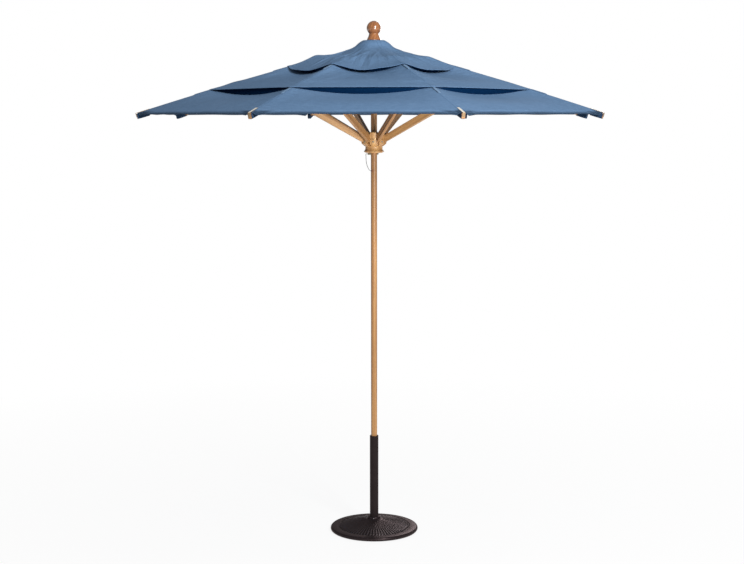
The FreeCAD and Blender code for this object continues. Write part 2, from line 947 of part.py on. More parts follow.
def make_canopy():
    thickness = size("canopy_thickness")
    step = SIZES["canopy_thickness"] + 0.5
    base = SIZES["canopy_gap"] + SIZES["canopy_thickness"]
    patch_height = crown_top + size("seat_gap")
    patch_radius = crown_radius_at_pivot + size("crown_wall") + size("canopy_top_overhang")
    disc = cylinder("canopy_disc", patch_radius, thickness, z=patch_height)
    hole = cylinder(
        "canopy_disc_hole",
        half("stud_diameter") + size("stud_clearance"),
        thickness * 3,
        z=patch_height - thickness,
    )
    finish(cut("canopy_top", disc, hole), "canopy_top")

    rim = crown_radius_at_pivot.value + rib_length.value * math.cos(math.radians(rib_slope.value))
    top_reach, second_reach = SIZES["top_tier_reach"], SIZES["second_tier_reach"]
    second_start = top_reach - SIZES["second_tier_lap"]
    rim_start = second_reach - SIZES["rim_tier_lap"]

    def station(radius, layer, flare=0.0, droop=0.0):
        return radius, rib_top_height(radius) + base + step * layer, flare, droop

    def spaced(start, stop, count):
        return [start + (stop - start) * i / count for i in range(count + 1)]

    crown_edge = patch_radius.value + 1.5
    crown_cloth = patch_height.value + SIZES["canopy_thickness"]
    crown_run = SIZES["crown_cloth_run"]
    crown_bulge = crown_edge * (1 - math.cos(math.radians(HALF_TURN))) + 0.5
    top_tier = [
        (crown_edge, crown_cloth, crown_bulge, 0),
        (crown_edge + crown_run / 2, crown_cloth - crown_run * 0.25, crown_bulge / 2, 0),
        (crown_edge + crown_run, crown_cloth - crown_run * 0.7, 0, 0),
    ]
    for radius in spaced(crown_edge + crown_run * 2, top_reach, 5):
        free = easing(radius, top_reach * 0.6, top_reach)
        top_tier.append(station(radius, 2, SIZES["top_tier_flare"] * free, SIZES["top_tier_droop"] * free))
    second_tier = []
    for radius in spaced(second_start, second_reach, 6):
        tight = easing(radius, second_start + 30, second_reach - 80)
        second_tier.append(station(radius, 1, droop=SIZES["second_tier_sag"] * (1 - tight)))
    rim_tier = []
    for radius in spaced(rim_start, rim, 5):
        tight = easing(radius, rim_start, rim - 120)
        rim_tier.append(station(radius, 0, droop=SIZES["rim_tier_sag"] * (1 - tight)))
    for number in range(1, RIBS + 1):
        item = doc.addObject("Part::Feature", f"canopy_sector_{number}")
        item.Shape = Part.makeCompound([cloth_tier(tier) for tier in (top_tier, second_tier, rim_tier)])
        spin(item, HALF_TURN + TURN * (number - 1))
        finish(item, f"canopy_sector_{number}")


# ---- base


def make_dish():
    body = new_body("base_dish")
    lift = size("foot_lift")
    rim = size("dish_radius")
    rim_top = size("dish_rim_height")
    flute_height = size("dish_flute_height")
    top = size("dish_crown_height")
    wall = size("dish_wall")
    collar = collar_radius
    bolt = half("bolt_diameter") + size("stud_clearance")
    pad_seat = size("foot_pad_height") + size("seat_gap")
    pad_ring = rim - size("foot_pad_inset")
    pad_radius = size("foot_pad_radius")
    section = sketch_on(body, "XZ_Plane", "dish_section")
    add_outline(
        section,
        [
            (rim - 10, lift),
            (rim - 5, lift + 1, -1),
            (rim, lift + 8, -3),
            (rim - 8, rim_top, -0.6),
            (flute_radius + 6, flute_height - 3),
            (flute_radius + 3, flute_height - 6, 1),
            (flute_radius - 2, flute_height - 4, -1),
            (flute_radius - 7, flute_height),
            (collar + 8, top - 3, -1),
            (collar + 1, top),
            (bolt, top),
            (bolt, top - wall),
            (collar, top - wall, 6),
            (flute_radius - 8, flute_height - wall),
            (pad_ring - pad_radius - 6, pad_seat + 6),
            (pad_ring - pad_radius - 3, pad_seat),
            (pad_ring + pad_radius + 2, pad_seat),
        ],
    )
    turned(body, "Revolution", section)
    inner = Vector((collar + 14).value, 0, 0)
    outer = Vector((flute_radius - 1).value, 0, 0)
    fall = (top - 3 - flute_height) / (flute_radius - collar - 15)
    inner.z = (top - 3 - fall * 6).value
    outer.z = (flute_height - fall * 6).value
    along = outer - inner
    upward = Vector(-along.z, 0, along.x).normalize()
    share = SIZES["flute_width_share"] * math.pi / SIZES["flute_count"]
    depth = SIZES["flute_depth"]
    wide = outer.x * share
    narrow = inner.x * share
    shallow = depth * inner.x / outer.x
    end_radius = (wide**2 + depth**2) / (2 * depth)
    start_radius = (narrow**2 + shallow**2) / (2 * shallow)
    start = inner + upward * (start_radius - shallow)
    end = outer + upward * (end_radius - depth)
    flute = body.newObject("PartDesign::SubtractiveCone", "dish_flute")
    flute.Radius1 = start_radius
    flute.Radius2 = end_radius
    flute.Height = (end - start).Length
    flute.Placement = Placement(start, Rotation(Vector(0, 0, 1), end - start))
    around(body, flute, SIZES["flute_count"])


def make_feet():
    pads = []
    for k in range(6):
        angle = math.radians(60 * k + 30)
        ring = size("dish_radius") - size("foot_pad_inset")
        pads.append(
            cylinder(
                f"foot_pad_{k + 1}",
                size("foot_pad_radius"),
                size("foot_pad_height"),
                x=ring * math.cos(angle),
                y=ring * math.sin(angle),
            )
        )
    return pads


def make_stem():
    outer = half("stem_diameter")
    inner = outer - size("stem_wall")
    foot = size("dish_crown_height") + size("seat_gap")
    plug_top = foot + size("stem_plug_height")
    height = size("stem_top_height") - foot
    hole_radius = half("clamp_screw_diameter") + size("rivet_clearance")
    backwards = Rotation(Vector(1, 0, 0), -90)
    shaft = cylinder("stem_shaft", outer, height, z=foot)
    boss = cylinder(
        "stem_boss",
        half("clamp_boss_diameter"),
        outer + size("clamp_boss_length"),
        z=size("clamp_height"),
        rotation=backwards,
    )
    bore = cylinder("stem_bore", inner, height, z=plug_top)
    screw_hole = cylinder(
        "stem_screw_hole", hole_radius, outer * 3, z=size("clamp_height"), rotation=backwards
    )
    bolt_hole = cylinder(
        "stem_bolt_hole", half("bolt_diameter") + size("seat_gap"), size("stem_plug_height") - 4, z=foot
    )
    holes = fuse("stem_holes", [bore, screw_hole, bolt_hole])
    finish(cut("stem_tube", fuse("stem_outside", [shaft, boss]), holes), "stem_tube")


def screw_cylinder(name, radius, inner, outer, height, angle):
    """A small screw or its hole, pointing at the pole."""
    towards = Vector(math.cos(math.radians(angle)), math.sin(math.radians(angle)), 0)
    return cylinder(
        name,
        radius,
        outer - inner,
        x=inner * towards.x,
        y=inner * towards.y,
        z=height,
        rotation=Rotation(Vector(0, 0, 1), towards),
    )


def make_collar():
    body = doc.addObject("PartDesign::Body", "collar_ring")
    inner = half("stem_diameter") + size("seat_gap")
    outer = collar_radius
    foot = size("dish_crown_height") + size("seat_gap")
    top = foot + size("collar_height")
    section = sketch_on(body, "XZ_Plane", "collar_section")
    add_outline(
        section,
        [
            (inner, foot),
            (outer, foot),
            (outer, foot + 4, -3),
            (inner + 4, top),
            (inner, top),
        ],
    )
    turned(body, "Revolution", section)
    radius = half("set_screw_diameter")
    hole_radius = radius + size("rivet_clearance")
    height = foot + size("collar_height") * 0.4
    angles = [-90 + 120 * k for k in range(3)]
    holes = [screw_cylinder(f"collar_hole_{a}", hole_radius, inner - 2, outer + 5, height, a) for a in angles]
    finish(cut("foot_collar", body, fuse("collar_holes", holes)), "foot_collar")
    start = inner + size("seat_gap")
    return [screw_cylinder(f"set_screw_{a}", radius, start, outer - 2, height, a) for a in angles]


def make_foot_bolt():
    wall = size("dish_wall")
    washer_top = size("dish_crown_height") - wall - size("seat_gap")
    head_top = washer_top - size("washer_thickness")
    flange = cylinder("bolt_flange", half("washer_diameter"), size("washer_thickness"), z=head_top)
    shank = cylinder(
        "bolt_shank",
        half("bolt_diameter"),
        size("washer_thickness") + wall + size("stem_plug_height") - 6,
        z=head_top,
    )
    head = doc.addObject("Part::Prism", "bolt_head")
    head.Polygon = 6
    bind(head, "Circumradius", half("bolt_head_diameter"))
    bind(head, "Height", size("bolt_head_height"))
    put(head, z=head_top - size("bolt_head_height"))
    finish(fuse("foot_bolt", [shank, flange, head]), "foot_bolt")


def make_bushing():
    gap = size("bushing_clearance")
    outer = half("stem_diameter") - size("stem_wall") - gap
    inner = half("pole_diameter") + gap
    top = size("stem_top_height") - 1
    sleeve = cylinder("bushing_sleeve", outer, size("bushing_height"), z=top - size("bushing_height"))
    bore = cylinder("bushing_bore", inner, size("bushing_height") * 2, z=top - size("bushing_height") * 1.5)
    finish(cut("reducer_bushing", sleeve, bore), "reducer_bushing")


def make_clamp_knob():
    backwards = Rotation(Vector(1, 0, 0), -90)
    height = size("clamp_height")
    tip = half("pole_diameter") + size("clamp_gap")
    knob_start = half("stem_diameter") + size("clamp_boss_length") + 4
    screw = cylinder(
        "clamp_screw",
        half("clamp_screw_diameter"),
        knob_start + size("clamp_knob_length") / 2 - tip,
        y=tip,
        z=height,
        rotation=backwards,
    )
    grip = cylinder(
        "clamp_grip",
        half("clamp_knob_diameter"),
        size("clamp_knob_length"),
        y=knob_start,
        z=height,
        rotation=backwards,
    )
    scallops = []
    for k in range(6):
        angle = math.radians(60 * k)
        ring = half("clamp_knob_diameter") + 5
        scallops.append(
            cylinder(
                f"clamp_scallop_{k + 1}",
                8,
                size("clamp_knob_length") * 2,
                x=ring * math.cos(angle),
                y=knob_start - size("clamp_knob_length") / 2,
                z=height + ring * math.sin(angle),
                rotation=backwards,
            )
        )
    gripped = cut("clamp_gripped", grip, fuse("clamp_scallops", scallops))
    finish(fuse("clamp_knob", [screw, gripped]), "clamp_knob")


make_pole()
make_plug_and_anchor()
make_crown()
make_finial()
for number in range(1, RIBS + 1):
    make_rib(number)
    make_bracket(number)
    make_strap(number)
    make_strut(number)
make_runner()
make_lock_pin()
make_tether()
make_canopy()
make_dish()
feet = make_feet()
make_stem()
set_screws = make_collar()
make_foot_bolt()
make_bushing()
make_clamp_knob()
doc.recompute()

for label, members in (("rubber_feet", feet), ("set_screws", set_screws)):
    group = doc.addObject("Part::Feature", label)
    group.Shape = Part.makeCompound([member.Shape for member in members])
    finish(group, label)
doc.recompute()

for item in doc.Objects:
    if "Invalid" in item.State or "Error" in item.State:
        raise RuntimeError(f"{item.Name} failed: {item.State}")
for label, item in finished.items():
    if item.Shape.isNull() or not item.Shape.isValid():
        raise RuntimeError(f"{label} has no valid shape")

print(
    f"strut: length {strut_length.value:.2f}, slope {strut_slope.value:.3f},"
    f" top at radius {strut_top_radius.value:.2f} height {strut_top_height.value:.2f}"
)
os.makedirs("parts", exist_ok=True)
for label, item in finished.items():
    item.Shape.exportStep(f"parts/{label}.step")
print(f"{len(finished)} sub-parts written")
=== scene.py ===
"""Looks of the teak market umbrella. Metres, +Z up, the pole stands on the origin."""

import math

import bpy
import numpy as np
from mathutils import Matrix, Vector


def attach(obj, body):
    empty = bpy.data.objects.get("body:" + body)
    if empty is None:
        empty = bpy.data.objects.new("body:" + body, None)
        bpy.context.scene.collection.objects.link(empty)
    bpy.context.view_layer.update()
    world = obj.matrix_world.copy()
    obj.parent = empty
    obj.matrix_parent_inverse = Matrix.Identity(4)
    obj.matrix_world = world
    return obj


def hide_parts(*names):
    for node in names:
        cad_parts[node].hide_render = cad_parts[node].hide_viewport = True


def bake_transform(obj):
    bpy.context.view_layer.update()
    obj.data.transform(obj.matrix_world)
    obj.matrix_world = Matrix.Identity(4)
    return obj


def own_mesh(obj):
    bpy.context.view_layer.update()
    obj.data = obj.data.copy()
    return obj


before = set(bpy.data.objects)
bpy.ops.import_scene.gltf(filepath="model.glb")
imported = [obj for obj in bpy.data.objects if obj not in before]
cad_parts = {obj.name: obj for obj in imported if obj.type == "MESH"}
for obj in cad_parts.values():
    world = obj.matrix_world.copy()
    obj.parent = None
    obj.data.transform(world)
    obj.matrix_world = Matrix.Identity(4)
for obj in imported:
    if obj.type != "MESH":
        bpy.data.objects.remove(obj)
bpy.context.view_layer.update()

# ---- camera: level with the canopy's rim, eight metres away, a little to the right of the front.
# It looks slightly down, with a lens that takes in the whole umbrella.

camera_azimuth = math.radians(3.98)
camera_distance = 8.086
camera_height = 2.447
camera_down, camera_roll, camera_swing = 6.75, 0.04, 0.08
sensor_width = 36
focal_share, image_width = 1389, 744
camera_data = bpy.data.cameras.new("camera")
camera_data.sensor_width = sensor_width
camera_data.lens = sensor_width * focal_share / image_width
camera = bpy.data.objects.new("camera", camera_data)
camera.location = (
    camera_distance * math.sin(camera_azimuth),
    -camera_distance * math.cos(camera_azimuth),
    camera_height,
)
camera.rotation_euler = (
    math.radians(90 - camera_down),
    math.radians(camera_roll),
    camera_azimuth + math.radians(camera_swing),
)
bpy.context.scene.collection.objects.link(camera)
bpy.context.scene.camera = camera

# ---- tether: a limp grey cord laid from three strands, which keeps the lock pin from being lost.
# It runs from the pin's eye down to an anchor in the pole.


def add_mesh(name, points, faces, smooth=True):
    """A piece made of points and faces."""
    mesh = bpy.data.meshes.new(name)
    mesh.from_pydata([tuple(p) for p in points], [], faces)
    mesh.validate()
    mesh.polygons.foreach_set("use_smooth", [smooth] * len(mesh.polygons))
    piece = bpy.data.objects.new(name, mesh)
    bpy.context.scene.collection.objects.link(piece)
    return piece


def new_material(name, base, roughness, metallic=0.0):
    """A shader, with its node tree ready for more nodes."""
    material = bpy.data.materials.new(name)
    material.use_nodes = True
    shader = material.node_tree.nodes["Principled BSDF"]
    shader.inputs["Base Color"].default_value = (*base, 1)
    shader.inputs["Roughness"].default_value = roughness
    shader.inputs["Metallic"].default_value = metallic
    return material, shader


def node(material, kind, inputs=None, **settings):
    """Adds a node. An input is a number, a tuple, or the socket that feeds it."""
    made = material.node_tree.nodes.new(f"ShaderNode{kind}")
    for key, value in settings.items():
        setattr(made, key, value)
    for key, value in (inputs or {}).items():
        if isinstance(value, bpy.types.NodeSocket):
            material.node_tree.links.new(value, made.inputs[key])
        else:
            made.inputs[key].default_value = value
    return made


def blend_colours(material, factor, low, high):
    """Low where the factor is 0, high where it is 1."""
    mix = node(material, "Mix", data_type="RGBA")
    sockets = [s for s in mix.inputs if s.type == "RGBA"]
    for socket, value in zip(sockets, (low, high)):
        if isinstance(value, bpy.types.NodeSocket):
            material.node_tree.links.new(value, socket)
        else:
            socket.default_value = (*value, 1)
    material.node_tree.links.new(factor, mix.inputs["Factor"])
    return next(s for s in mix.outputs if s.type == "RGBA")


def join(material, socket, shader, name):
    """Feeds a socket into one of a shader's own."""
    material.node_tree.links.new(socket, shader.inputs[name])


def add_bump(material, shader, height, strength, distance):
    """Fine relief, too small to model."""
    made = node(material, "Bump", {"Height": height, "Strength": strength, "Distance": distance})
    join(material, made.outputs["Normal"], shader, "Normal")


tether_points = [
    (-0.047, 0, 2.2362),
    (-0.046, -0.007, 2.211),
    (-0.042, -0.021, 2.1835),
    (-0.0345, -0.0295, 2.161),
    (-0.0245, -0.0305, 2.1445),
    (-0.014, -0.0245, 2.139),
    (-0.00905, -0.0158, 2.141),
]
tether_diameter = 0.003
tether_strands = 3
tether_lay = 0.009
strand_groove = 0.14


def nurbs_points(name, route, per_point):
    """Points along a smooth curve that a route's points pull on."""
    curve = bpy.data.curves.new(name, "CURVE")
    curve.dimensions = "3D"
    spline = curve.splines.new("NURBS")
    spline.points.add(len(route) - 1)
    for point, place in zip(spline.points, route):
        point.co = (*place, 1)
    spline.order_u = 3
    spline.use_endpoint_u = True
    spline.resolution_u = per_point
    holder = bpy.data.objects.new(name, curve)
    bpy.context.scene.collection.objects.link(holder)
    bpy.context.view_layer.update()
    depsgraph = bpy.context.evaluated_depsgraph_get()
    line = bpy.data.meshes.new_from_object(holder.evaluated_get(depsgraph))
    places = [Vector(v.co) for v in line.vertices]
    bpy.data.objects.remove(holder)
    bpy.data.meshes.remove(line)
    return places


def tube(name, line, radius_at, sides):
    """A closed tube along a line; radius_at(distance, angle) gives its radius."""
    points, faces = [], []
    travelled = 0.0
    side = (line[1] - line[0]).orthogonal().normalized()
    for i, centre in enumerate(line):
        ahead = (line[min(i + 1, len(line) - 1)] - line[max(i - 1, 0)]).normalized()
        side = (side - ahead * side.dot(ahead)).normalized()
        up = ahead.cross(side)
        if i:
            travelled += (centre - line[i - 1]).length
        for j in range(sides):
            angle = 2 * math.pi * j / sides
            out = side * math.cos(angle) + up * math.sin(angle)
            points.append(centre + out * radius_at(travelled, angle))
    for i in range(len(line) - 1):
        for j in range(sides):
            a, b = i * sides + j, i * sides + (j + 1) % sides
            faces.append((a, b, b + sides, a + sides))
    faces.append(tuple(reversed(range(sides))))
    faces.append(tuple(range(len(points) - sides, len(points))))
    return add_mesh(name, points, faces)


def strand_radius(distance, angle):
    """The cord's radius, grooved between its strands."""
    turn = tether_strands * angle - 2 * math.pi * distance / tether_lay
    return tether_diameter / 2 * (1 - strand_groove * (1 - math.cos(turn)) / 2)


cord_grey, cord_shader = new_material("waxed_grey_cord", (0.05, 0.045, 0.045), 0.8)
fibres = node(cord_grey, "TexNoise", {"Scale": 900.0, "Detail": 4.0})
join(
    cord_grey,
    blend_colours(cord_grey, fibres.outputs["Fac"], (0.030, 0.027, 0.027), (0.075, 0.070, 0.068)),
    cord_shader,
    "Base Color",
)
add_bump(cord_grey, cord_shader, fibres.outputs["Fac"], 0.4, 0.0003)

tether_line = nurbs_points("tether_route", tether_points, 16)
tether = tube("tether_cord", tether_line, strand_radius, 14)
tether.data.materials.append(cord_grey)
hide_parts("tether")
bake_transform(tether)

# ---- base: a cast-iron dome with cast flutes and a smooth rim, powder coated in dark bronze. A
# collar with three set screws holds the steel stem, and a flanged bolt from below draws it down.

flutes_fade_in, flutes_full = 0.08, 0.20
step_radius = 0.2085
# painted highlight for the flutes' ridges, painted shade for their grooves and the step
painted_ridge_highlight, painted_groove_shade = (0.075, 0.064, 0.067), (0.004, 0.003, 0.003)


def spread(material, socket, low, high, to_low=0.0, to_high=1.0):
    """Stretches the range low to high over to_low to to_high, and clamps it."""
    made = node(
        material,
        "MapRange",
        {"Value": socket, "From Min": low, "From Max": high, "To Min": to_low, "To Max": to_high},
    )
    return made.outputs["Result"]


def reckon(material, operation, *values):
    """One sum on numbers or sockets."""
    return node(material, "Math", dict(enumerate(values)), operation=operation).outputs[0]


def painted_flute_light_and_shade(material, place, tone, flutes):
    """Painted highlight on the ridges, and painted shade in the flutes and in the step that ends
    them.
    """
    spot = node(material, "SeparateXYZ", {"Vector": place}).outputs
    angle = reckon(material, "ARCTAN2", spot["Y"], spot["X"])
    ridge = reckon(material, "COSINE", reckon(material, "MULTIPLY", angle, float(flutes)))
    flat = node(material, "CombineXYZ", {"X": spot["X"], "Y": spot["Y"]}).outputs[0]
    radius = node(material, "VectorMath", {0: flat}, operation="LENGTH").outputs["Value"]
    outward = spread(material, radius, flutes_fade_in, flutes_full)
    inside = spread(material, radius, step_radius, 0.2115, 1.0, 0.0)
    reach = reckon(material, "MULTIPLY", outward, inside)
    light = reckon(material, "MULTIPLY", spread(material, ridge, -0.3, -0.95), reach)
    dark = reckon(material, "MULTIPLY", spread(material, ridge, -0.2, 0.6, 0.0, 0.75), reach)
    tone = blend_colours(material, dark, tone, painted_groove_shade)
    tone = blend_colours(material, light, tone, painted_ridge_highlight)
    step = spread(material, radius, step_radius, 0.2105)
    step_end = spread(material, radius, 0.2120, 0.2145, 0.9, 0.0)
    return blend_colours(material, reckon(material, "MULTIPLY", step, step_end), tone, painted_groove_shade)


def bronze_coat(name, base, roughness, grain, strength, flutes=0):
    """Textured powder coat over iron or steel, rubbed a little lighter in places."""
    material, shader = new_material(name, base, roughness, 0.5)
    shader.inputs["Specular IOR Level"].default_value = 0.2
    shader.inputs["Specular Tint"].default_value = (0.5, 0.4, 0.4, 1)
    place = node(material, "TexCoord").outputs["Object"]
    grit = {"Vector": place, "Scale": grain, "Detail": 5.0, "Roughness": 0.6}
    speckle = node(material, "TexNoise", grit).outputs["Fac"]
    patches = {"Vector": place, "Scale": 9.0, "Detail": 3.0}
    cloud = node(material, "TexNoise", patches).outputs["Fac"]
    worn = tuple(c * 1.35 + 0.002 for c in base)
    mixed = blend_colours(material, spread(material, speckle, 0.35, 0.7), base, worn)
    deep = tuple(c * 0.75 for c in base)
    tone = blend_colours(material, spread(material, cloud, 0.4, 0.62, 0.0, 0.45), mixed, deep)
    # on the casting the flutes get a painted highlight on their ridges and painted shade in their
    # grooves
    if flutes:
        tone = painted_flute_light_and_shade(material, place, tone, flutes)
    join(material, tone, shader, "Base Color")
    rough = spread(material, speckle, 0.3, 0.7, roughness - 0.08, roughness + 0.1)
    join(material, rough, shader, "Roughness")
    add_bump(material, shader, speckle, strength, 0.0006)
    return material


def dress(material, *nodes):
    """Gives CAD nodes a finish."""
    for name in nodes:
        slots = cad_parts[name].data.materials
        slots.clear()
        slots.append(material)


flute_count = 72
iron_tone = (0.026, 0.019, 0.020)
iron_bronze = bronze_coat("bronze_coated_iron", iron_tone, 0.32, 700.0, 0.1, flute_count)
dress(iron_bronze, "base_dish", "foot_collar")

screw_steel, steel_shader = new_material("zinc_plated_steel", (0.55, 0.55, 0.57), 0.32, 1.0)
scratches = node(screw_steel, "TexNoise", {"Scale": 300.0, "Detail": 6.0})
scratched = spread(screw_steel, scratches.outputs["Fac"], 0.3, 0.7, 0.22, 0.45)
join(screw_steel, scratched, steel_shader, "Roughness")
dress(screw_steel, "set_screws", "foot_bolt")

pad_rubber, rubber_shader = new_material("black_foot_rubber", (0.02, 0.02, 0.02), 0.75)
pores = node(pad_rubber, "TexNoise", {"Scale": 1200.0, "Detail": 2.0})
add_bump(pad_rubber, rubber_shader, pores.outputs["Fac"], 0.3, 0.0003)
dress(pad_rubber, "rubber_feet")

# ---- stem: a steel tube with the same coat, smoother than on the casting. A plastic bushing in its
# mouth guides the thinner pole, and a plastic knob on a screw behind it clamps the pole.

steel_bronze = bronze_coat("bronze_coated_steel", (0.022, 0.016, 0.016), 0.36, 420.0, 0.1)
dress(steel_bronze, "stem_tube")

knob_plastic, plastic_shader = new_material("black_moulded_plastic", (0.018, 0.018, 0.019), 0.5)
moulded = node(knob_plastic, "TexNoise", {"Scale": 800.0, "Detail": 3.0})
satin = spread(knob_plastic, moulded.outputs["Fac"], 0.3, 0.7, 0.42, 0.58)
join(knob_plastic, satin, plastic_shader, "Roughness")
add_bump(knob_plastic, plastic_shader, moulded.outputs["Fac"], 0.25, 0.0003)
dress(knob_plastic, "clamp_knob", "reducer_bushing")

# ---- pole: one turned length of oiled teak with a sanded matt sheen. A teak plug fills a screw
# hole at the front, and a darker plug holds the tether.


def teak(name, along, light, dark, roughness, coat=0.0, grain=1.0):
    """Straight-grained teak: long pores and streaks that run along the piece."""
    material, shader = new_material(name, light, roughness)
    forward = Vector(along).normalized()
    sideways = forward.orthogonal().normalized()
    turn = Matrix((forward, sideways, forward.cross(sideways))).to_euler()
    place = node(material, "TexCoord").outputs["Object"]
    lined = node(material, "Mapping", {"Vector": place, "Rotation": turn}).outputs["Vector"]

    def streaks(length, width, detail, distortion=0.0):
        squeezed = node(material, "Mapping", {"Vector": lined, "Scale": (length, width, width)})
        noise = {"Scale": 1.0, "Detail": detail, "Distortion": distortion}
        noise["Vector"] = squeezed.outputs["Vector"]
        return node(material, "TexNoise", noise).outputs["Fac"]

    bands = streaks(1.6 * grain, 60 * grain, 4.0, 0.6)
    pores_fine = streaks(22 * grain, 900 * grain, 3.0)
    boards = streaks(0.7, 9, 2.0)
    middle = tuple(0.4 * a + 0.6 * b for a, b in zip(light, dark))
    tone = blend_colours(material, spread(material, bands, 0.38, 0.64), light, middle)
    tone = blend_colours(material, spread(material, boards, 0.4, 0.68, 0.0, 0.45), tone, dark)
    pore_share = spread(material, pores_fine, 0.56, 0.7, 0.0, 0.55)
    join(material, blend_colours(material, pore_share, tone, dark), shader, "Base Color")
    sheen = spread(material, bands, 0.3, 0.7, roughness - 0.07, roughness + 0.08)
    join(material, sheen, shader, "Roughness")
    add_bump(material, shader, pores_fine, 0.15, 0.0004)
    shader.inputs["Coat Weight"].default_value = coat
    shader.inputs["Coat Roughness"].default_value = 0.12
    return material


teak_light = (0.60, 0.325, 0.118)
teak_dark = (0.23, 0.085, 0.025)
pole_teak = teak("oiled_teak_pole", (0, 0, 1), (0.50, 0.268, 0.096), teak_dark, 0.42)
dress(pole_teak, "pole", "pole_plug")
anchor_teak = teak("dark_teak_plug", (0, 1, 0), (0.32, 0.12, 0.05), (0.16, 0.06, 0.025), 0.4)
dress(anchor_teak, "tether_anchor")

# ---- crown and finial: turned teak. The crown is slotted for the ribs, and a brass wire runs round
# it as their hinge. The finial is varnished, and a brass stud holds it over the canopy.

crown_teak = teak("sanded_teak_crown", (0, 0, 1), (0.56, 0.31, 0.14), teak_dark, 0.45)
dress(crown_teak, "crown")

finial_tones = (0.42, 0.165, 0.055), (0.13, 0.04, 0.012)
finial_teak = teak("varnished_teak_finial", (0.3, 0.2, 1), *finial_tones, 0.22, coat=1.0, grain=2.5)
dress(finial_teak, "finial")


def brass_finish(name, base, roughness):
    """Lacquered brass, with soft marks from handling."""
    material, shader = new_material(name, base, roughness, 1.0)
    place = node(material, "TexCoord").outputs["Object"]
    marks = node(material, "TexNoise", {"Vector": place, "Scale": 160.0, "Detail": 5.0})
    tarnish = node(material, "TexNoise", {"Vector": place, "Scale": 25.0, "Detail": 3.0})
    dull = tuple(c * 0.62 for c in base)
    share = spread(material, tarnish.outputs["Fac"], 0.45, 0.7, 0.0, 0.6)
    join(material, blend_colours(material, share, base, dull), shader, "Base Color")
    rubbed = spread(material, marks.outputs["Fac"], 0.3, 0.7, roughness - 0.06, roughness + 0.12)
    join(material, rubbed, shader, "Roughness")
    return material


hinge_brass = brass_finish("drawn_brass_wire", (0.72, 0.55, 0.28), 0.3)
dress(hinge_brass, "crown_ring", "finial_stud")

# ---- ribs and struts: eight of each, sawn teak with eased edges. Each strut hinges in a folded
# brass bracket under its rib, and a brass strap folded over each rib's end holds the cloth.

ribs = range(1, 9)


def rib_azimuth(number):
    return math.radians(22.5 + 45 * (number - 1))


rib_pitch = math.radians(16.05)
strut_pitch = math.radians(28.181)
bracket_brass = brass_finish("folded_brass_bracket", (0.70, 0.52, 0.28), 0.32)
strap_brass, strap_shader = new_material("brass_strap_painted_light", (0.80, 0.72, 0.55), 0.45, 0.35)
# the strap's colour is painted light and shade: lighter on faces turned up, darker on faces turned
# down
strap_facing = node(strap_brass, "TexCoord").outputs["Normal"]
strap_up = node(strap_brass, "SeparateXYZ", {"Vector": strap_facing}).outputs["Z"]
strap_marks = node(strap_brass, "TexNoise", {"Scale": 160.0, "Detail": 5.0})
strap_painted_light = spread(strap_brass, strap_up, 0.3, 0.8)
strap_painted_shade_tone, strap_painted_highlight_tone = (0.25, 0.165, 0.085), (0.86, 0.82, 0.72)
strap_tone = blend_colours(strap_brass, strap_painted_light, strap_painted_shade_tone, strap_painted_highlight_tone)
join(strap_brass, strap_tone, strap_shader, "Base Color")
strap_rough = spread(strap_brass, strap_marks.outputs["Fac"], 0.3, 0.7, 0.38, 0.55)
join(strap_brass, strap_rough, strap_shader, "Roughness")

for number in ribs:
    azimuth = rib_azimuth(number)
    out = Vector((math.cos(azimuth), math.sin(azimuth), 0))
    down_rib = out * math.cos(rib_pitch) - Vector((0, 0, math.sin(rib_pitch)))
    up_strut = out * math.cos(strut_pitch) + Vector((0, 0, math.sin(strut_pitch)))
    lighter = 1 + 0.06 * math.sin(2.4 * number)
    rib_light = tuple(c * lighter for c in teak_light)
    strut_light = tuple(c / lighter for c in teak_light)
    rib_teak = teak(f"rib_teak_{number}", down_rib, rib_light, teak_dark, 0.5)
    strut_teak = teak(f"strut_teak_{number}", up_strut, strut_light, teak_dark, 0.48)
    dress(rib_teak, f"rib_{number}")
    dress(strut_teak, f"strut_{number}")
    dress(bracket_brass, f"rib_bracket_{number}")
    dress(strap_brass, f"rib_strap_{number}")

# ---- runner: turned teak that slides on the pole, slotted for the struts, with a brass wire ring
# as their hinge and eight steel screws round it. A brass lock pin through the pole holds it up.

runner_tones = (0.74, 0.43, 0.165), (0.36, 0.16, 0.05)
runner_teak = teak("sanded_teak_runner", (0, 0, 1), *runner_tones, 0.42, coat=0.15)
dress(runner_teak, "runner")
dress(hinge_brass, "runner_ring")
pin_brass = brass_finish("turned_brass_pin", (0.30, 0.27, 0.20), 0.4)
dress(pin_brass, "lock_pin")

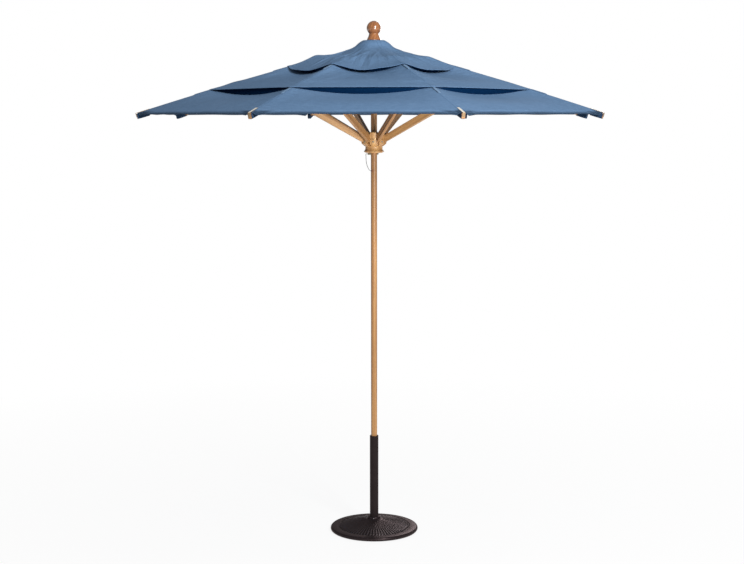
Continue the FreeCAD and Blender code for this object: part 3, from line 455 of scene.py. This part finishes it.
dull_steel, dull_shader = new_material("dulled_steel_screw", (0.34, 0.29, 0.22), 0.6, 0.6)
rubbed = node(dull_steel, "TexNoise", {"Scale": 600.0, "Detail": 4.0})
dulled = spread(dull_steel, rubbed.outputs["Fac"], 0.3, 0.7, 0.5, 0.7)
join(dull_steel, dulled, dull_shader, "Roughness")
screw_profile = [(0.0022, 0.0019), (0.0040, 0.0014), (0.0052, 0.0006), (0.0055, -0.0002)]
screw_sides = 24
screw_reach, screw_height = 0.0721, 2.3095
slot_depth, slot_half_width, slot_reach = 0.0009, 0.0006, 0.004
for number in range(8):
    azimuth = math.radians(45 * number)
    out = Vector((math.cos(azimuth), math.sin(azimuth), 0))
    tangent = Vector((-math.sin(azimuth), math.cos(azimuth), 0))
    points, faces = [], []
    for radius, lift in screw_profile:
        for i in range(screw_sides):
            angle = 2 * math.pi * i / screw_sides
            in_slot = abs(math.sin(angle) * radius) < slot_half_width and radius < slot_reach
            slotted = lift - (slot_depth if in_slot else 0)
            spot = out * (screw_reach + slotted) + tangent * radius * math.cos(angle)
            points.append(spot + Vector((0, 0, screw_height + radius * math.sin(angle))))
    rings = len(screw_profile)
    for i in range(rings - 1):
        for j in range(screw_sides):
            a, b = i * screw_sides + j, i * screw_sides + (j + 1) % screw_sides
            faces.append((a, a + screw_sides, b + screw_sides, b))
    faces.append(tuple(range(screw_sides)))
    faces.append(tuple(reversed(range((rings - 1) * screw_sides, rings * screw_sides))))
    screw = add_mesh(f"runner_screw_{number + 1}", points, faces)
    screw.data.materials.append(dull_steel)
    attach(screw, "runner")

# ---- canopy: woven acrylic cloth in slate blue, three tiers with vents between them. Lapped seams
# lie over the ribs, and each tier's lower edge is a stitched hem. Each tier is in two halves at a
# rib.

hinge_radius, hinge_height = 0.042, 2.834
rib_run = 1.379
rib_half_depth, rib_half_width = 0.015, 0.0088
rib_bow = 0.010
half_panel = math.radians(22.5)
half_chord_share = math.sin(half_panel)
cloth_half = 0.00055
seam_half_width = 0.009
seam_rise = 0.0006
lap_reach = seam_half_width * 1.01
hem_depth = 0.022
rib_end = hinge_radius + rib_run * math.cos(rib_pitch)
crown_line = [
    (0.0545, 2.8857),
    (0.062, 2.8847),
    (0.074, 2.8788),
    (0.090, 2.8682),
    (0.113, 2.8490),
    (0.130, 2.8415),
    (0.150, 2.8335),
    (0.171, 2.8257),
]
# how far the top tier stands off each rib, first rib first: halfway along, and at its hem
hump_at_rib = [0.016, 0.010, 0.013, 0.020, 0.022, 0.008, 0.010, 0.012]
hem_lift_at_rib = [0.0, 0.003, 0.003, 0.002, 0.003, 0.006, 0.006, 0.0]
hump_line = [
    (0.220, 0.0),
    (0.262, 0.06),
    (0.306, 0.50),
    (0.344, 0.97),
    (0.357, 0.97),
    (0.398, 0.58),
    (0.442, 0.22),
    (0.485, 0.06),
    (0.520, 0.10),
]


def rib_top(radius):
    """Height of a rib's upper edge."""
    along = (radius - hinge_radius) / math.cos(rib_pitch)
    share = (2 * along - rib_run) / rib_run
    lift = rib_half_depth + rib_bow * (1 - share * share)
    return hinge_height - (radius - hinge_radius) * math.tan(rib_pitch) + lift / math.cos(rib_pitch)


def ease(value, low, high):
    """0 below low, 1 above high, smooth between."""
    t = np.clip((value - low) / (high - low), 0, 1)
    return t * t * (3 - 2 * t)


def smooth_line(line):
    """Samples of a smooth curve drawn through (place, height) points."""
    places, heights = [], []
    for i in range(len(line) - 1):
        (x0, y0), (x1, y1) = line[i], line[i + 1]
        before, after = line[max(i - 1, 0)], line[min(i + 2, len(line) - 1)]
        run = x1 - x0
        slope_in = (y1 - before[1]) / (x1 - before[0]) * run
        slope_out = (after[1] - y0) / (after[0] - x0) * run
        t = np.linspace(0, 1, 40)
        places.append(x0 + run * t)
        bend = (1 + 2 * t) * (1 - t) ** 2 * y0 + t * (1 - t) ** 2 * slope_in
        heights.append(bend + t * t * (3 - 2 * t) * y1 + t * t * (t - 1) * slope_out)
    return np.concatenate(places), np.concatenate(heights)


stand_off = [(r, z - rib_top(r)) for r, z in crown_line] + [(0.192, 0.0080), (0.235, 0.0072)]
stand_off_line = smooth_line(stand_off)
hump_curve = smooth_line(hump_line)


def chance(*numbers):
    """The same unplanned-looking number from 0 to 1 each time for the same numbers."""
    seed = sum(n * k for n, k in zip(numbers, (12.9898, 78.233, 37.719)))
    return math.sin(seed) * 43758.5453 % 1


def creases(panel, t, radius, count, reach, depth, width):
    """Soft ridges and hollows that run outwards across one panel."""
    total = 0.0
    chord = 2 * radius * half_chord_share
    run = reach[1] - reach[0]
    for k in range(count):
        draw = [chance(panel % 8 + 9 * count, k, i) for i in range(5)]
        start, stop = reach[0] + run * 0.35 * draw[0], reach[1] - run * 0.35 * draw[1]
        middle = (k + 0.25 + 0.5 * draw[2]) / count
        lean = (draw[3] - 0.5) * 0.5
        line = middle * chord + lean * (radius - (start + stop) / 2)
        share = ease(radius, start, start + 0.06) * (1 - ease(radius, stop - 0.07, stop))
        sign = (1 if (k + panel) % 2 else -1) * (0.6 + 0.4 * draw[1])
        off = (t * chord - line) / width / (0.7 + 0.6 * draw[4])
        total = total + sign * share * np.exp(-(off**2))
    return depth * total * ease(np.minimum(t, 1 - t), 0.0, 0.09)


def pull_lines(panel, t, radius, pitch, depth):
    """Short stretch ripples that leave a rib and die out."""
    near = np.minimum(t, 1 - t) * 2 * radius * half_chord_share
    own_start = np.where(t < 0.5, chance(panel % 8, 0), chance(panel % 8, 1))
    turns = radius / pitch + 0.4 * near / pitch + own_start
    ripple = depth * np.sin(2 * math.pi * turns)
    return ripple * ease(near, 0.006, 0.03) * (1 - ease(near, 0.05, 0.16))


def bulge_across(t, radius):
    """0 where the cloth lies on a rib, 1 mid-panel, round between."""
    half_chord = radius * half_chord_share
    near = np.minimum(t, 1 - t) * 2 * half_chord
    rest = np.clip((near - rib_half_width) / (half_chord - rib_half_width), 0, 1)
    return 1 - (1 - rest) ** 2


def between_ribs(values, panel, t):
    """Blends a value that each rib has across a panel."""
    blend = ease(t, 0, 1)
    return values[(panel - 1) % 8] * (1 - blend) + values[panel % 8] * blend


def top_tier(panel, t, radius):
    """Height, outward reach and fall of the top tier across a panel, from one rib to the next."""
    bulge = bulge_across(t, radius)
    height = rib_top(radius) + np.interp(radius, *stand_off_line)
    hump = between_ribs(hump_at_rib, panel, t) * np.interp(radius, *hump_curve)
    height += hump * (1 - 0.55 * bulge)
    height += between_ribs(hem_lift_at_rib, panel, t) * ease(radius, 0.40, 0.50)
    height += 0.0014 * (1 - ease(radius, 0.1225, 0.1255))
    free = ease(radius, 0.312, 0.515)
    round_crown = radius * (1 - math.cos(half_panel)) + 0.0005
    crown_bulge = 1 - (1 - 2 * np.minimum(t, 1 - t)) ** 2
    wide = 0.050 * free * bulge + round_crown * (1 - ease(radius, 0.06, 0.2)) * crown_bulge
    wave = np.sin(2 * math.pi * (1.5 * t + chance(panel % 8, 5))) * np.sin(math.pi * t)
    fall = 0.0315 * free * bulge + 0.0042 * wave * ease(radius, 0.40, 0.515)
    loose = ease(radius, 0.09, 0.2)
    height += loose * creases(panel, t, radius, 6, (0.09, 0.50), 0.0046, 0.013)
    height += loose * creases(panel, t, radius, 11, (0.15, 0.52), 0.0018, 0.006)
    return height, wide, fall


def second_tier(panel, t, radius):
    """The middle tier: it sags where it runs up under the top tier, and is taut at its hem."""
    bulge = bulge_across(t, radius)
    hem_lift = between_ribs(hem_lift_at_rib, panel, t) * 0.8 * ease(radius, 0.86, 0.95)
    height = rib_top(radius) + 0.0054 + hem_lift
    height += 0.006 * np.exp(-(((radius - 0.83) / 0.05) ** 2)) * chance(panel % 8, 7) * (1 - bulge)
    height += creases(panel, t, radius, 7, (0.5, 0.93), 0.0022, 0.016)
    height += pull_lines(panel, t, radius, 0.055, 0.0006)
    return height, 0.0, 0.038 * bulge * (1 - ease(radius, 0.5, 0.885))


def rim_tier(panel, t, radius):
    """The outer tier: its hem turns down between the ribs."""
    bulge = bulge_across(t, radius)
    height = rib_top(np.minimum(radius, rib_end)) + 0.0036
    height += creases(panel, t, radius, 6, (0.96, 1.34), 0.0015, 0.020)
    height += pull_lines(panel, t, radius, 0.048, 0.0006)
    near = np.minimum(t, 1 - t) * 2 * radius * half_chord_share
    turned_down = 0.0068 + 0.0075 * (1 - ease(near, 0.02, 0.10))
    fall = 0.034 * bulge * (1 - ease(radius, 0.925, rib_end - 0.12))
    fall += turned_down * ease(radius, 1.325, rib_end) * ease(near, 0.0105, 0.022)
    fall += 0.0012 * np.sin(19 * t + panel) * ease(radius, 1.25, rib_end) * np.sin(math.pi * t)
    return height, 0.0, fall


def surface(tier, panel, t, radius):
    """Points on a tier, t from one rib (0) to the next (1)."""
    height, wide, fall = tier(panel, t, radius)
    start, stop = rib_azimuth(panel), rib_azimuth(panel + 1)
    middle = (start + stop) / 2
    x = radius * (math.cos(start) * (1 - t) + math.cos(stop) * t) + wide * math.cos(middle)
    y = radius * (math.sin(start) * (1 - t) + math.sin(stop) * t) + wide * math.sin(middle)
    return np.stack([x, y, height - fall], axis=-1)


def unit(vectors):
    """The same directions, one metre long."""
    return vectors / np.linalg.norm(vectors, axis=-1, keepdims=True)


def facing(tier, panel, t, radius):
    """Which way the cloth faces, up and out."""
    small = 0.002
    outward = surface(tier, panel, t, radius + small) - surface(tier, panel, t, radius - small)
    low, high = np.maximum(t - 0.004, 0), np.minimum(t + 0.004, 1)
    sideways = surface(tier, panel, high, radius) - surface(tier, panel, low, radius)
    return unit(np.cross(outward, sideways))


def cloth_spots(tier, number, radius, across):
    """A tier's middle points and facings at distances across the rib, in metres."""
    reach = np.minimum(np.abs(across) / (2 * radius * half_chord_share), 0.5)
    first = (across >= 0)[..., None]
    both_sides = (tier, number, reach, radius), (tier, number - 1, 1 - reach, radius)
    places = np.where(first, *(surface(*side) for side in both_sides))
    own = np.where(first, *(facing(*side) for side in both_sides))
    zero = np.zeros_like(radius)
    both = unit(facing(tier, number, zero, radius) + facing(tier, number - 1, zero + 1, radius))
    turned = ease(np.abs(across), 0, seam_half_width)[..., None]
    return places, unit(both * (1 - turned) + own * turned)


def cloth_sheet(name, tops, bottoms, facings, places):
    """A closed sheet between two grids of points, with true normals on both sides."""
    deep, wide = tops.shape[:2]
    count = deep * wide
    points = np.concatenate([tops.reshape(-1, 3), bottoms.reshape(-1, 3)])
    faces, sides = [], []
    for i in range(deep - 1):
        for j in range(wide - 1):
            a, d = i * wide + j, (i + 1) * wide + j
            faces.append((a, d, d + 1, a + 1))
            faces.append((a + count, a + 1 + count, d + 1 + count, d + count))
            sides += [1, -1]
    for i in range(deep - 1):
        a, d = i * wide, (i + 1) * wide
        b, c = a + wide - 1, d + wide - 1
        faces += [(a, a + count, d + count, d), (b, c, c + count, b + count)]
        sides += [0, 0]
    for j in range(wide - 1):
        d = (deep - 1) * wide + j
        faces += [(j, j + 1, j + 1 + count, j + count), (d, d + count, d + 1 + count, d + 1)]
        sides += [0, 0]
    piece = add_mesh(name, points, faces)
    mesh = piece.data
    corners = np.array(faces).ravel()
    sides = np.repeat(sides, 4)[:, None]
    square = np.repeat([tuple(polygon.normal) for polygon in mesh.polygons], 4, axis=0)
    spot = corners % count
    ready = np.where(sides != 0, facings.reshape(-1, 3)[spot] * sides, square)
    layer = mesh.uv_layers.new(name="cloth")
    layer.data.foreach_set("uv", places.reshape(-1, 2)[spot].ravel())
    mesh.normals_split_custom_set(ready.tolist())
    return piece


def sheet_area(grid):
    """The area of a grid of points."""
    falling = grid[1:, 1:] - grid[:-1, :-1]
    rising = grid[1:, :-1] - grid[:-1, 1:]
    return float(np.linalg.norm(np.cross(falling, rising), axis=-1).sum() / 2)


def across_panel(number, side):
    """Flat in a panel beside a rib and square to the rib, and the upward side of that rib."""
    azimuth = rib_azimuth(number)
    middle = azimuth + side * half_panel
    steep = math.tan(rib_pitch) / math.cos(half_panel)
    upward = unit(np.array([math.cos(middle) * steep, math.sin(middle) * steep, 1]))
    level, fall = math.cos(rib_pitch), math.sin(rib_pitch)
    down_rib = np.array([math.cos(azimuth) * level, math.sin(azimuth) * level, -fall])
    up_rib = np.array([math.cos(azimuth) * fall, math.sin(azimuth) * fall, level])
    return unit(np.cross(upward, down_rib)), up_rib


def sector_piece(piece, number, finish, keep=1.0, side=0, ridge=None):
    """Gives a cloth piece its finish and its rib."""
    piece.data.materials.append(finish)
    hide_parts(f"canopy_sector_{number}")
    if keep > 0:
        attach(piece, f"rib_{number}")
    if 0 < keep < 1:
        axis, up_rib = across_panel(number, side)
        anchor = ridge[np.argmax(ridge @ up_rib)]
        axis, anchor = axis.tolist(), anchor.tolist()
        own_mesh(piece)


def tier_sheet(name, tier, number, radii, columns, hemmed, side=0):
    """One tier's cloth over a rib, or to one side of it, with its lapped seam and its hem."""
    near = np.array([0.0, seam_half_width * 0.86, seam_half_width, seam_half_width * 1.2])
    shares = np.arange(1, columns + 1) / columns
    rows = []
    for radius in radii:
        rest = near[-1] + (radius * half_chord_share - near[-1]) * shares
        half = np.concatenate([near, rest])
        rows.append({-1: -half[::-1], 0: np.concatenate([-half[:0:-1], half]), 1: half}[side])
    across = np.array(rows)
    radius = np.repeat(np.array(radii)[:, None], across.shape[1], axis=1)
    middle, up = cloth_spots(tier, number, radius, across)
    edge = (radii[-1] - radius) / math.cos(rib_pitch)
    raised = seam_rise * (np.abs(across) < lap_reach)
    raised = raised + seam_rise * (hemmed & (edge < hem_depth))
    tops, bottoms = middle + up * (cloth_half + raised)[..., None], middle - up * cloth_half
    places = np.stack([across, edge + (0 if hemmed else 0.5)], axis=-1)
    ridge = middle[:, -1 if side < 0 else 0]
    return cloth_sheet(name, tops, bottoms, up, places), sheet_area(middle), ridge


def steps(start, stop, size):
    """Even steps of about a size."""
    count = max(2, round((stop - start) / size))
    return [start + (stop - start) * i / count for i in range(count + 1)]


thread_half_width, stitch_length, stitch_gap = 0.00045, 0.0035, 0.3
seam_stitch_in, hem_stitch_in = 0.0025, 0.003
weave_scale = 420.0


def stitch_line(material, distance, along, place):
    """A row of stitches: 1 on the thread."""
    off = reckon(material, "ABSOLUTE", reckon(material, "SUBTRACT", distance, place))
    on_line = reckon(material, "LESS_THAN", off, thread_half_width)
    turn = reckon(material, "FRACT", reckon(material, "DIVIDE", along, stitch_length))
    dash = reckon(material, "GREATER_THAN", turn, stitch_gap)
    return reckon(material, "MULTIPLY", on_line, dash)


def woven(name, low, high, gap, selvage=seam_half_width, border=0.0016, hem_shade=0.0):
    """Plain-weave acrylic: two crossed yarns, slubs, sun-faded patches, and sewn rows of thread."""
    material, shader = new_material(name, high, 0.9)
    shader.inputs["Specular IOR Level"].default_value = 0.12
    uv = node(material, "UVMap", uv_map="cloth").outputs["UV"]
    yarns = {"Vector": uv, "Scale": weave_scale}
    warp = node(material, "TexWave", yarns, bands_direction="X").outputs["Fac"]
    weft = node(material, "TexWave", yarns, bands_direction="Y").outputs["Fac"]
    weave = reckon(material, "MULTIPLY", warp, weft)
    place = node(material, "TexCoord").outputs["Object"]
    slubs = {"Vector": place, "Scale": 40.0, "Detail": 6.0, "Roughness": 0.65}
    slub = node(material, "TexNoise", slubs).outputs["Fac"]
    patches = {"Vector": place, "Scale": 2.2, "Detail": 3.0}
    faded = node(material, "TexNoise", patches).outputs["Fac"]
    tone = blend_colours(material, spread(material, slub, 0.35, 0.65), low, high)
    worn = tuple(c * k for c, k in zip(high, (1.12, 1.05, 1.02)))
    tone = blend_colours(material, spread(material, faded, 0.4, 0.65, 0.0, 0.4), tone, worn)
    tone = blend_colours(material, spread(material, weave, 0.0, 0.3, 0.25, 0.0), tone, gap)
    split = node(material, "SeparateXYZ", {"Vector": uv}).outputs
    across = reckon(material, "ABSOLUTE", split["X"])
    lap = reckon(material, "ABSOLUTE", reckon(material, "SUBTRACT", across, selvage))
    fold = reckon(material, "ABSOLUTE", reckon(material, "SUBTRACT", split["Y"], hem_depth))
    edge = reckon(material, "MINIMUM", lap, fold)
    # painted shade: a dark line along each seam's lap edge and each hem's fold
    painted_edge_shade = spread(material, edge, border * 0.6, border, 0.55, 0.0)
    tone = blend_colours(material, painted_edge_shade, tone, gap)
    if hem_shade:
        # painted shade: the hem's colour is darkened where it turns down, most of all beside the
        # ribs
        under = spread(material, split["Y"], 0.006, 0.034, hem_shade, 0.0)
        corner = spread(material, split["Y"], 0.024, 0.046, hem_shade, 0.0)
        near_rib = spread(material, across, 0.06, 0.125, 1.0, 0.0)
        under = reckon(material, "MAXIMUM", under, reckon(material, "MULTIPLY", corner, near_rib))
        tone = blend_colours(material, under, tone, tuple(c * 0.3 for c in gap))
    thread = stitch_line(material, across, split["Y"], selvage - seam_stitch_in)
    for row in (hem_depth - hem_stitch_in, hem_stitch_in):
        hem_thread = stitch_line(material, split["Y"], split["X"], row)
        thread = reckon(material, "MAXIMUM", thread, hem_thread)
    pale = tuple(c * 1.12 for c in high)
    join(material, blend_colours(material, thread, tone, pale), shader, "Base Color")
    add_bump(material, shader, reckon(material, "ADD", weave, thread), 0.25, 0.0004)
    return material


slate = (0.104, 0.190, 0.324), (0.126, 0.222, 0.370), (0.045, 0.094, 0.176)
cloth = woven("woven_slate_acrylic", *slate)
rim_cloth = woven("woven_slate_acrylic_rim", *slate, hem_shade=0.9)

top_radii = [0.10, 0.111, 0.1205, 0.1225, 0.1255, 0.135, *steps(0.147, 0.488, 0.011)]
top_radii += [0.4905, 0.492, 0.500, 0.508, 0.515]
crown_radii = [0.0545, 0.058, 0.062, 0.067, 0.073, 0.080, 0.087, 0.094, 0.10]
second_radii = [0.47, 0.478, 0.49, *steps(0.505, 0.943, 0.02), 0.9435, 0.945, 0.955, 0.965]
rim_radii = [0.925, 0.933, 0.945, *steps(0.96, 1.343, 0.022)]
rim_radii += [1.3455, 1.347, 1.353, 1.357, 1.361, 1.3645, 1.367]
rib_sides = {-1: "_right", 1: "_left"}
tiers = [
    ("crown_cloth", top_tier, crown_radii, 14, False, 0),
    ("top_cloth", top_tier, top_radii, 26, True, 0.19),
    ("second_cloth", second_tier, second_radii, 22, True, 0.125),
    ("rim_cloth", rim_tier, rim_radii, 24, True, 0.096),
]
for number in ribs:
    out = Vector((math.cos(rib_azimuth(number)), math.sin(rib_azimuth(number)), 0))
    for name, tier, radii, columns, hemmed, keep in tiers:
        finish = rim_cloth if tier is rim_tier else cloth
        for side, label in rib_sides.items() if keep else [(0, "")]:
            title = f"{name}_{number}{label}"
            piece, area, ridge = tier_sheet(title, tier, number, radii, columns, hemmed, side)
            sector_piece(piece, number, finish, keep, side, ridge)
            if not keep:
                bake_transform(piece)

# ---- vent netting: a dark strip sewn along each vent, from just inside the upper tier's hem down
# to the tier below it. Its dark navy is painted shade: it stands in for the shadow inside the vent.

netting, net_shader = new_material("navy_vent_net_painted_shade", (0.002, 0.014, 0.044), 1.0)
net_shader.inputs["Specular IOR Level"].default_value = 0.0
net_uv = node(netting, "UVMap", uv_map="cloth").outputs["UV"]
cells = node(netting, "TexVoronoi", {"Vector": net_uv, "Scale": 500.0}, feature="DISTANCE_TO_EDGE")
strand = spread(netting, cells.outputs["Distance"], 0.04, 0.12, 1.0, 0.0)
net_painted_shade_tone = blend_colours(netting, strand, (0.001, 0.009, 0.030), (0.003, 0.020, 0.062))
join(netting, net_painted_shade_tone, net_shader, "Base Color")
add_bump(netting, net_shader, strand, 0.3, 0.0004)

vents = [
    ("top_vent_net", top_tier, 0.505, second_tier, 0.502, 0.16),
    ("rim_vent_net", second_tier, 0.9535, rim_tier, 0.9505, 0.11),
]
net_levels = np.linspace(0, 1, 3)[:, None, None]
net_columns = 23
net_gap, net_thickness, net_depth = 0.0001, 0.0008, 0.03
for number in ribs:
    azimuth = rib_azimuth(number)
    for name, upper, upper_radius, lower, lower_radius, keep in vents:
        for side, label in rib_sides.items():
            shares = np.linspace(min(side, 0), max(side, 0), net_columns)
            radius = np.full_like(shares, upper_radius)
            across = shares * upper_radius * half_chord_share
            high, high_up = cloth_spots(upper, number, radius, across)
            radius = np.full_like(shares, lower_radius)
            across = shares * lower_radius * half_chord_share
            low, low_up = cloth_spots(lower, number, radius, across)
            raised = seam_rise * (np.abs(across) < lap_reach)
            high = high - high_up * (cloth_half + net_gap)
            low = low + low_up * (cloth_half + net_gap + raised)[:, None]
            tops = high[None] * (1 - net_levels) + low[None] * net_levels
            turn = azimuth + shares * half_panel
            outward = np.stack([np.cos(turn), np.sin(turn), 0 * turn], axis=-1)[None] + 0 * tops
            bottoms = tops - outward * net_thickness
            level = np.repeat(np.linspace(0, net_depth, 3)[:, None], len(shares), axis=1)
            places = np.stack([across[None] + 0 * level, level], axis=-1)
            net = cloth_sheet(f"{name}_{number}{label}", tops, bottoms, outward, places)
            sector_piece(net, number, netting, keep, side, tops[:, -1 if side < 0 else 0])

# ---- tabs and pockets: a webbing tab ties each upper tier's hem down along the rib, and a short
# cloth pocket sewn under the outer hem slips over the rib's end. The brass strap nips it in place.

# the webbing is painted lighter than the canopy cloth, a painted highlight, and its wide dark
# borders are painted shadow beside the raised tab
webbing_painted_light_tones = (0.165, 0.275, 0.430), (0.205, 0.325, 0.490), (0.010, 0.030, 0.072)
webbing = woven("slate_webbing", *webbing_painted_light_tones, selvage=0.0088, border=0.0030)
# the pocket's cloth is the canopy's slate painted much darker: painted shade at the rib's end
pocket_tones = (0.016, 0.038, 0.078), (0.022, 0.050, 0.098), (0.010, 0.026, 0.055)
pocket_cloth = woven("shaded_slate_acrylic", *pocket_tones)
plain_cloth = 0.1
tab_half_width = 0.0105
tab_rise = 0.0030
tab_shares = np.array([-1, -0.97, -0.84, -0.4, 0, 0.4, 0.84, 0.97, 1])
tab_lift = np.array([0.0, 0.6, 1, 1, 1, 1, 1, 0.6, 0.0])
tabs = [("top_tab", second_tier, 0.5156, 0.602), ("second_tab", rim_tier, 0.9656, 1.052)]
pocket_section = [(0.0102, 0.0150), (0.0103, 0.002), (0.0101, -0.0105), (0.0087, -0.0125)]
pocket_section += [(0.0, -0.0129), *((-y, h) for y, h in reversed(pocket_section))]
pocket_stations = (1.310, 1.315, 1.332, 1.350, 1.366, 1.3785)
pocket_length, pocket_cut, pocket_puff = 0.0685, 0.0687, 0.0006
for number in ribs:
    azimuth = rib_azimuth(number)
    out = np.array([math.cos(azimuth), math.sin(azimuth), 0])
    tangent = np.array([-math.sin(azimuth), math.cos(azimuth), 0])
    upward = np.array([0, 0, 1])
    down_rib = out * math.cos(rib_pitch) - upward * math.sin(rib_pitch)
    up_rib = out * math.sin(rib_pitch) + upward * math.cos(rib_pitch)
    for name, tier, start, stop in tabs:
        stations = np.array(steps(start, stop, 0.010))
        radius = np.repeat(stations[:, None], len(tab_shares), axis=1)
        across = np.repeat(tab_shares[None] * tab_half_width, len(stations), axis=0)
        middle, up = cloth_spots(tier, number, radius, across)
        end_share = ease(stop - radius, -0.001, 0.006)
        base = middle + up * (cloth_half + seam_rise + 0.0001)
        tops = base + up * (0.0003 + tab_rise * tab_lift[None] * end_share)[..., None]
        lean = (tab_shares**9)[None, :, None] * tangent * 1.2
        places = np.stack([across, plain_cloth + stop - radius], axis=-1)
        tab = cloth_sheet(f"{name}_{number}", tops, base, unit(up + lean), places)
        sector_piece(tab, number, webbing)
    grids = [[], [], [], []]
    for along in pocket_stations:
        puff = pocket_puff * math.sin((along - pocket_stations[0]) / pocket_length * math.pi)
        centre = out * hinge_radius + upward * hinge_height + down_rib * along
        rows = [[], [], [], []]
        for j, (y, h) in enumerate(pocket_section):
            ahead = pocket_section[min(j + 1, len(pocket_section) - 1)]
            behind = pocket_section[max(j - 1, 0)]
            square = np.array([behind[1] - ahead[1], ahead[0] - behind[0]])
            face_out = unit(tangent * square[0] + up_rib * square[1])
            middle = centre + tangent * y + up_rib * h + face_out * puff
            rows[0].append(middle + face_out * cloth_half)
            rows[1].append(middle - face_out * cloth_half)
            rows[2].append(face_out)
            rows[3].append((0.03 + j * 0.006, plain_cloth + pocket_stations[-1] - along))
        for grid, row in zip(grids, rows):
            grid.append(row)
    pocket = cloth_sheet(f"rib_pocket_{number}", *(np.array(grid) for grid in grids))
    sector_piece(pocket, number, pocket_cloth)

# ---- crown patch: the round of cloth on top of the crown, cut out at its centre for the finial's
# stud. The finial's foot clamps it, with the tops of the eight sectors, on to the crown.

cap_points, cap_faces = [], []
cap_radii = [0.0045, 0.015, 0.030, 0.042, 0.050, 0.0544]
cap_height = 2.8857
cap_sides = 64
for lift in (cloth_half, -cloth_half):
    for radius in cap_radii:
        for i in range(cap_sides):
            angle = 2 * math.pi * i / cap_sides
            x, y = radius * math.cos(angle), radius * math.sin(angle)
            cap_points.append((x, y, cap_height + lift))
layer = len(cap_radii) * cap_sides
for i in range(len(cap_radii)):
    for j in range(cap_sides):
        a, b = i * cap_sides + j, i * cap_sides + (j + 1) % cap_sides
        if i < len(cap_radii) - 1:
            cap_faces.append((a, a + cap_sides, b + cap_sides, b))
            cap_faces.append((a + layer, b + layer, b + cap_sides + layer, a + cap_sides + layer))
        if i == 0:
            cap_faces.append((a, b, b + layer, a + layer))
        if i == len(cap_radii) - 1:
            cap_faces.append((a, a + layer, b + layer, b))
cap = add_mesh("canopy_cap", cap_points, cap_faces, False)
cap_uv = cap.data.uv_layers.new(name="cloth").data
for loop in cap.data.loops:
    x, y, _ = cap.data.vertices[loop.vertex_index].co
    cap_uv[loop.index].uv = (x + 0.2, y + 0.7)
cap.data.materials.append(cloth)
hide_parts("canopy_top")
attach(cap, "mast")

# ---- studio: a white floor and background. A softbox from the front right is the key, a small lamp
# lights the runner under the canopy, and a weak softbox stands behind.

floor_corners = [(-30, -30, 0), (30, -30, 0), (30, 30, 0), (-30, 30, 0)]
floor = add_mesh("studio_floor", floor_corners, [(0, 1, 2, 3)], False)
floor_white, floor_shader = new_material("studio_floor_white", (0.88, 0.88, 0.88), 0.7)
light_path = node(floor_white, "LightPath").outputs
seen = reckon(floor_white, "MAXIMUM", light_path["Is Camera Ray"], light_path["Is Glossy Ray"])
seen = reckon(floor_white, "MAXIMUM", seen, light_path["Is Transmission Ray"])
floor_place = node(floor_white, "TexCoord").outputs["Object"]
reach = node(floor_white, "VectorMath", {0: floor_place}, operation="LENGTH").outputs["Value"]
white = spread(floor_white, reach, 0.8, 5.0, 0.88, 1.0)
glow = node(floor_white, "Emission", {"Color": (1, 1, 1, 1), "Strength": 1.0}).outputs["Emission"]
lit = {0: reckon(floor_white, "MULTIPLY", seen, white), 1: floor_shader.outputs["BSDF"], 2: glow}
mixed = node(floor_white, "MixShader", lit).outputs["Shader"]
join(floor_white, mixed, floor_white.node_tree.nodes["Material Output"], "Surface")
floor.data.materials.append(floor_white)

sky_strength = 0.31
world = bpy.data.worlds.new("studio")
bpy.context.scene.world = world
world.use_nodes = True
background = world.node_tree.nodes["Background"]
background.inputs["Color"].default_value = (1, 1, 1, 1)
sky_path = node(world, "LightPath").outputs
shown = reckon(world, "MAXIMUM", sky_path["Is Camera Ray"], sky_path["Is Transmission Ray"])
join(world, spread(world, shown, 0.0, 1.0, sky_strength, 1.0), background, "Strength")


def soft_light(name, place, target, size, power, cone=None):
    """A square softbox, or a lamp with a soft-edged cone."""
    lamp = bpy.data.lights.new(name, "SPOT" if cone else "AREA")
    lamp.energy = power
    if cone:
        lamp.spot_size = math.radians(cone)
        lamp.spot_blend = 1.0
        lamp.shadow_soft_size = size / 2
    else:
        lamp.size = size
    holder = bpy.data.objects.new(name, lamp)
    holder.location = place
    holder.rotation_euler = (Vector(target) - Vector(place)).to_track_quat("-Z", "Y").to_euler()
    bpy.context.scene.collection.objects.link(holder)


soft_light("key_light", (3.8, -7.0, 5.2), (0, 0, 2.2), 2.2, 790)
soft_light("runner_light", (2.4, -5.4, 1.3), (0, 0, 2.40), 1.0, 1000, 20)
soft_light("back_light", (1.5, 7.5, 4.0), (0, 0, 1.8), 3.0, 160)
bpy.context.scene.view_settings.view_transform = "Standard"
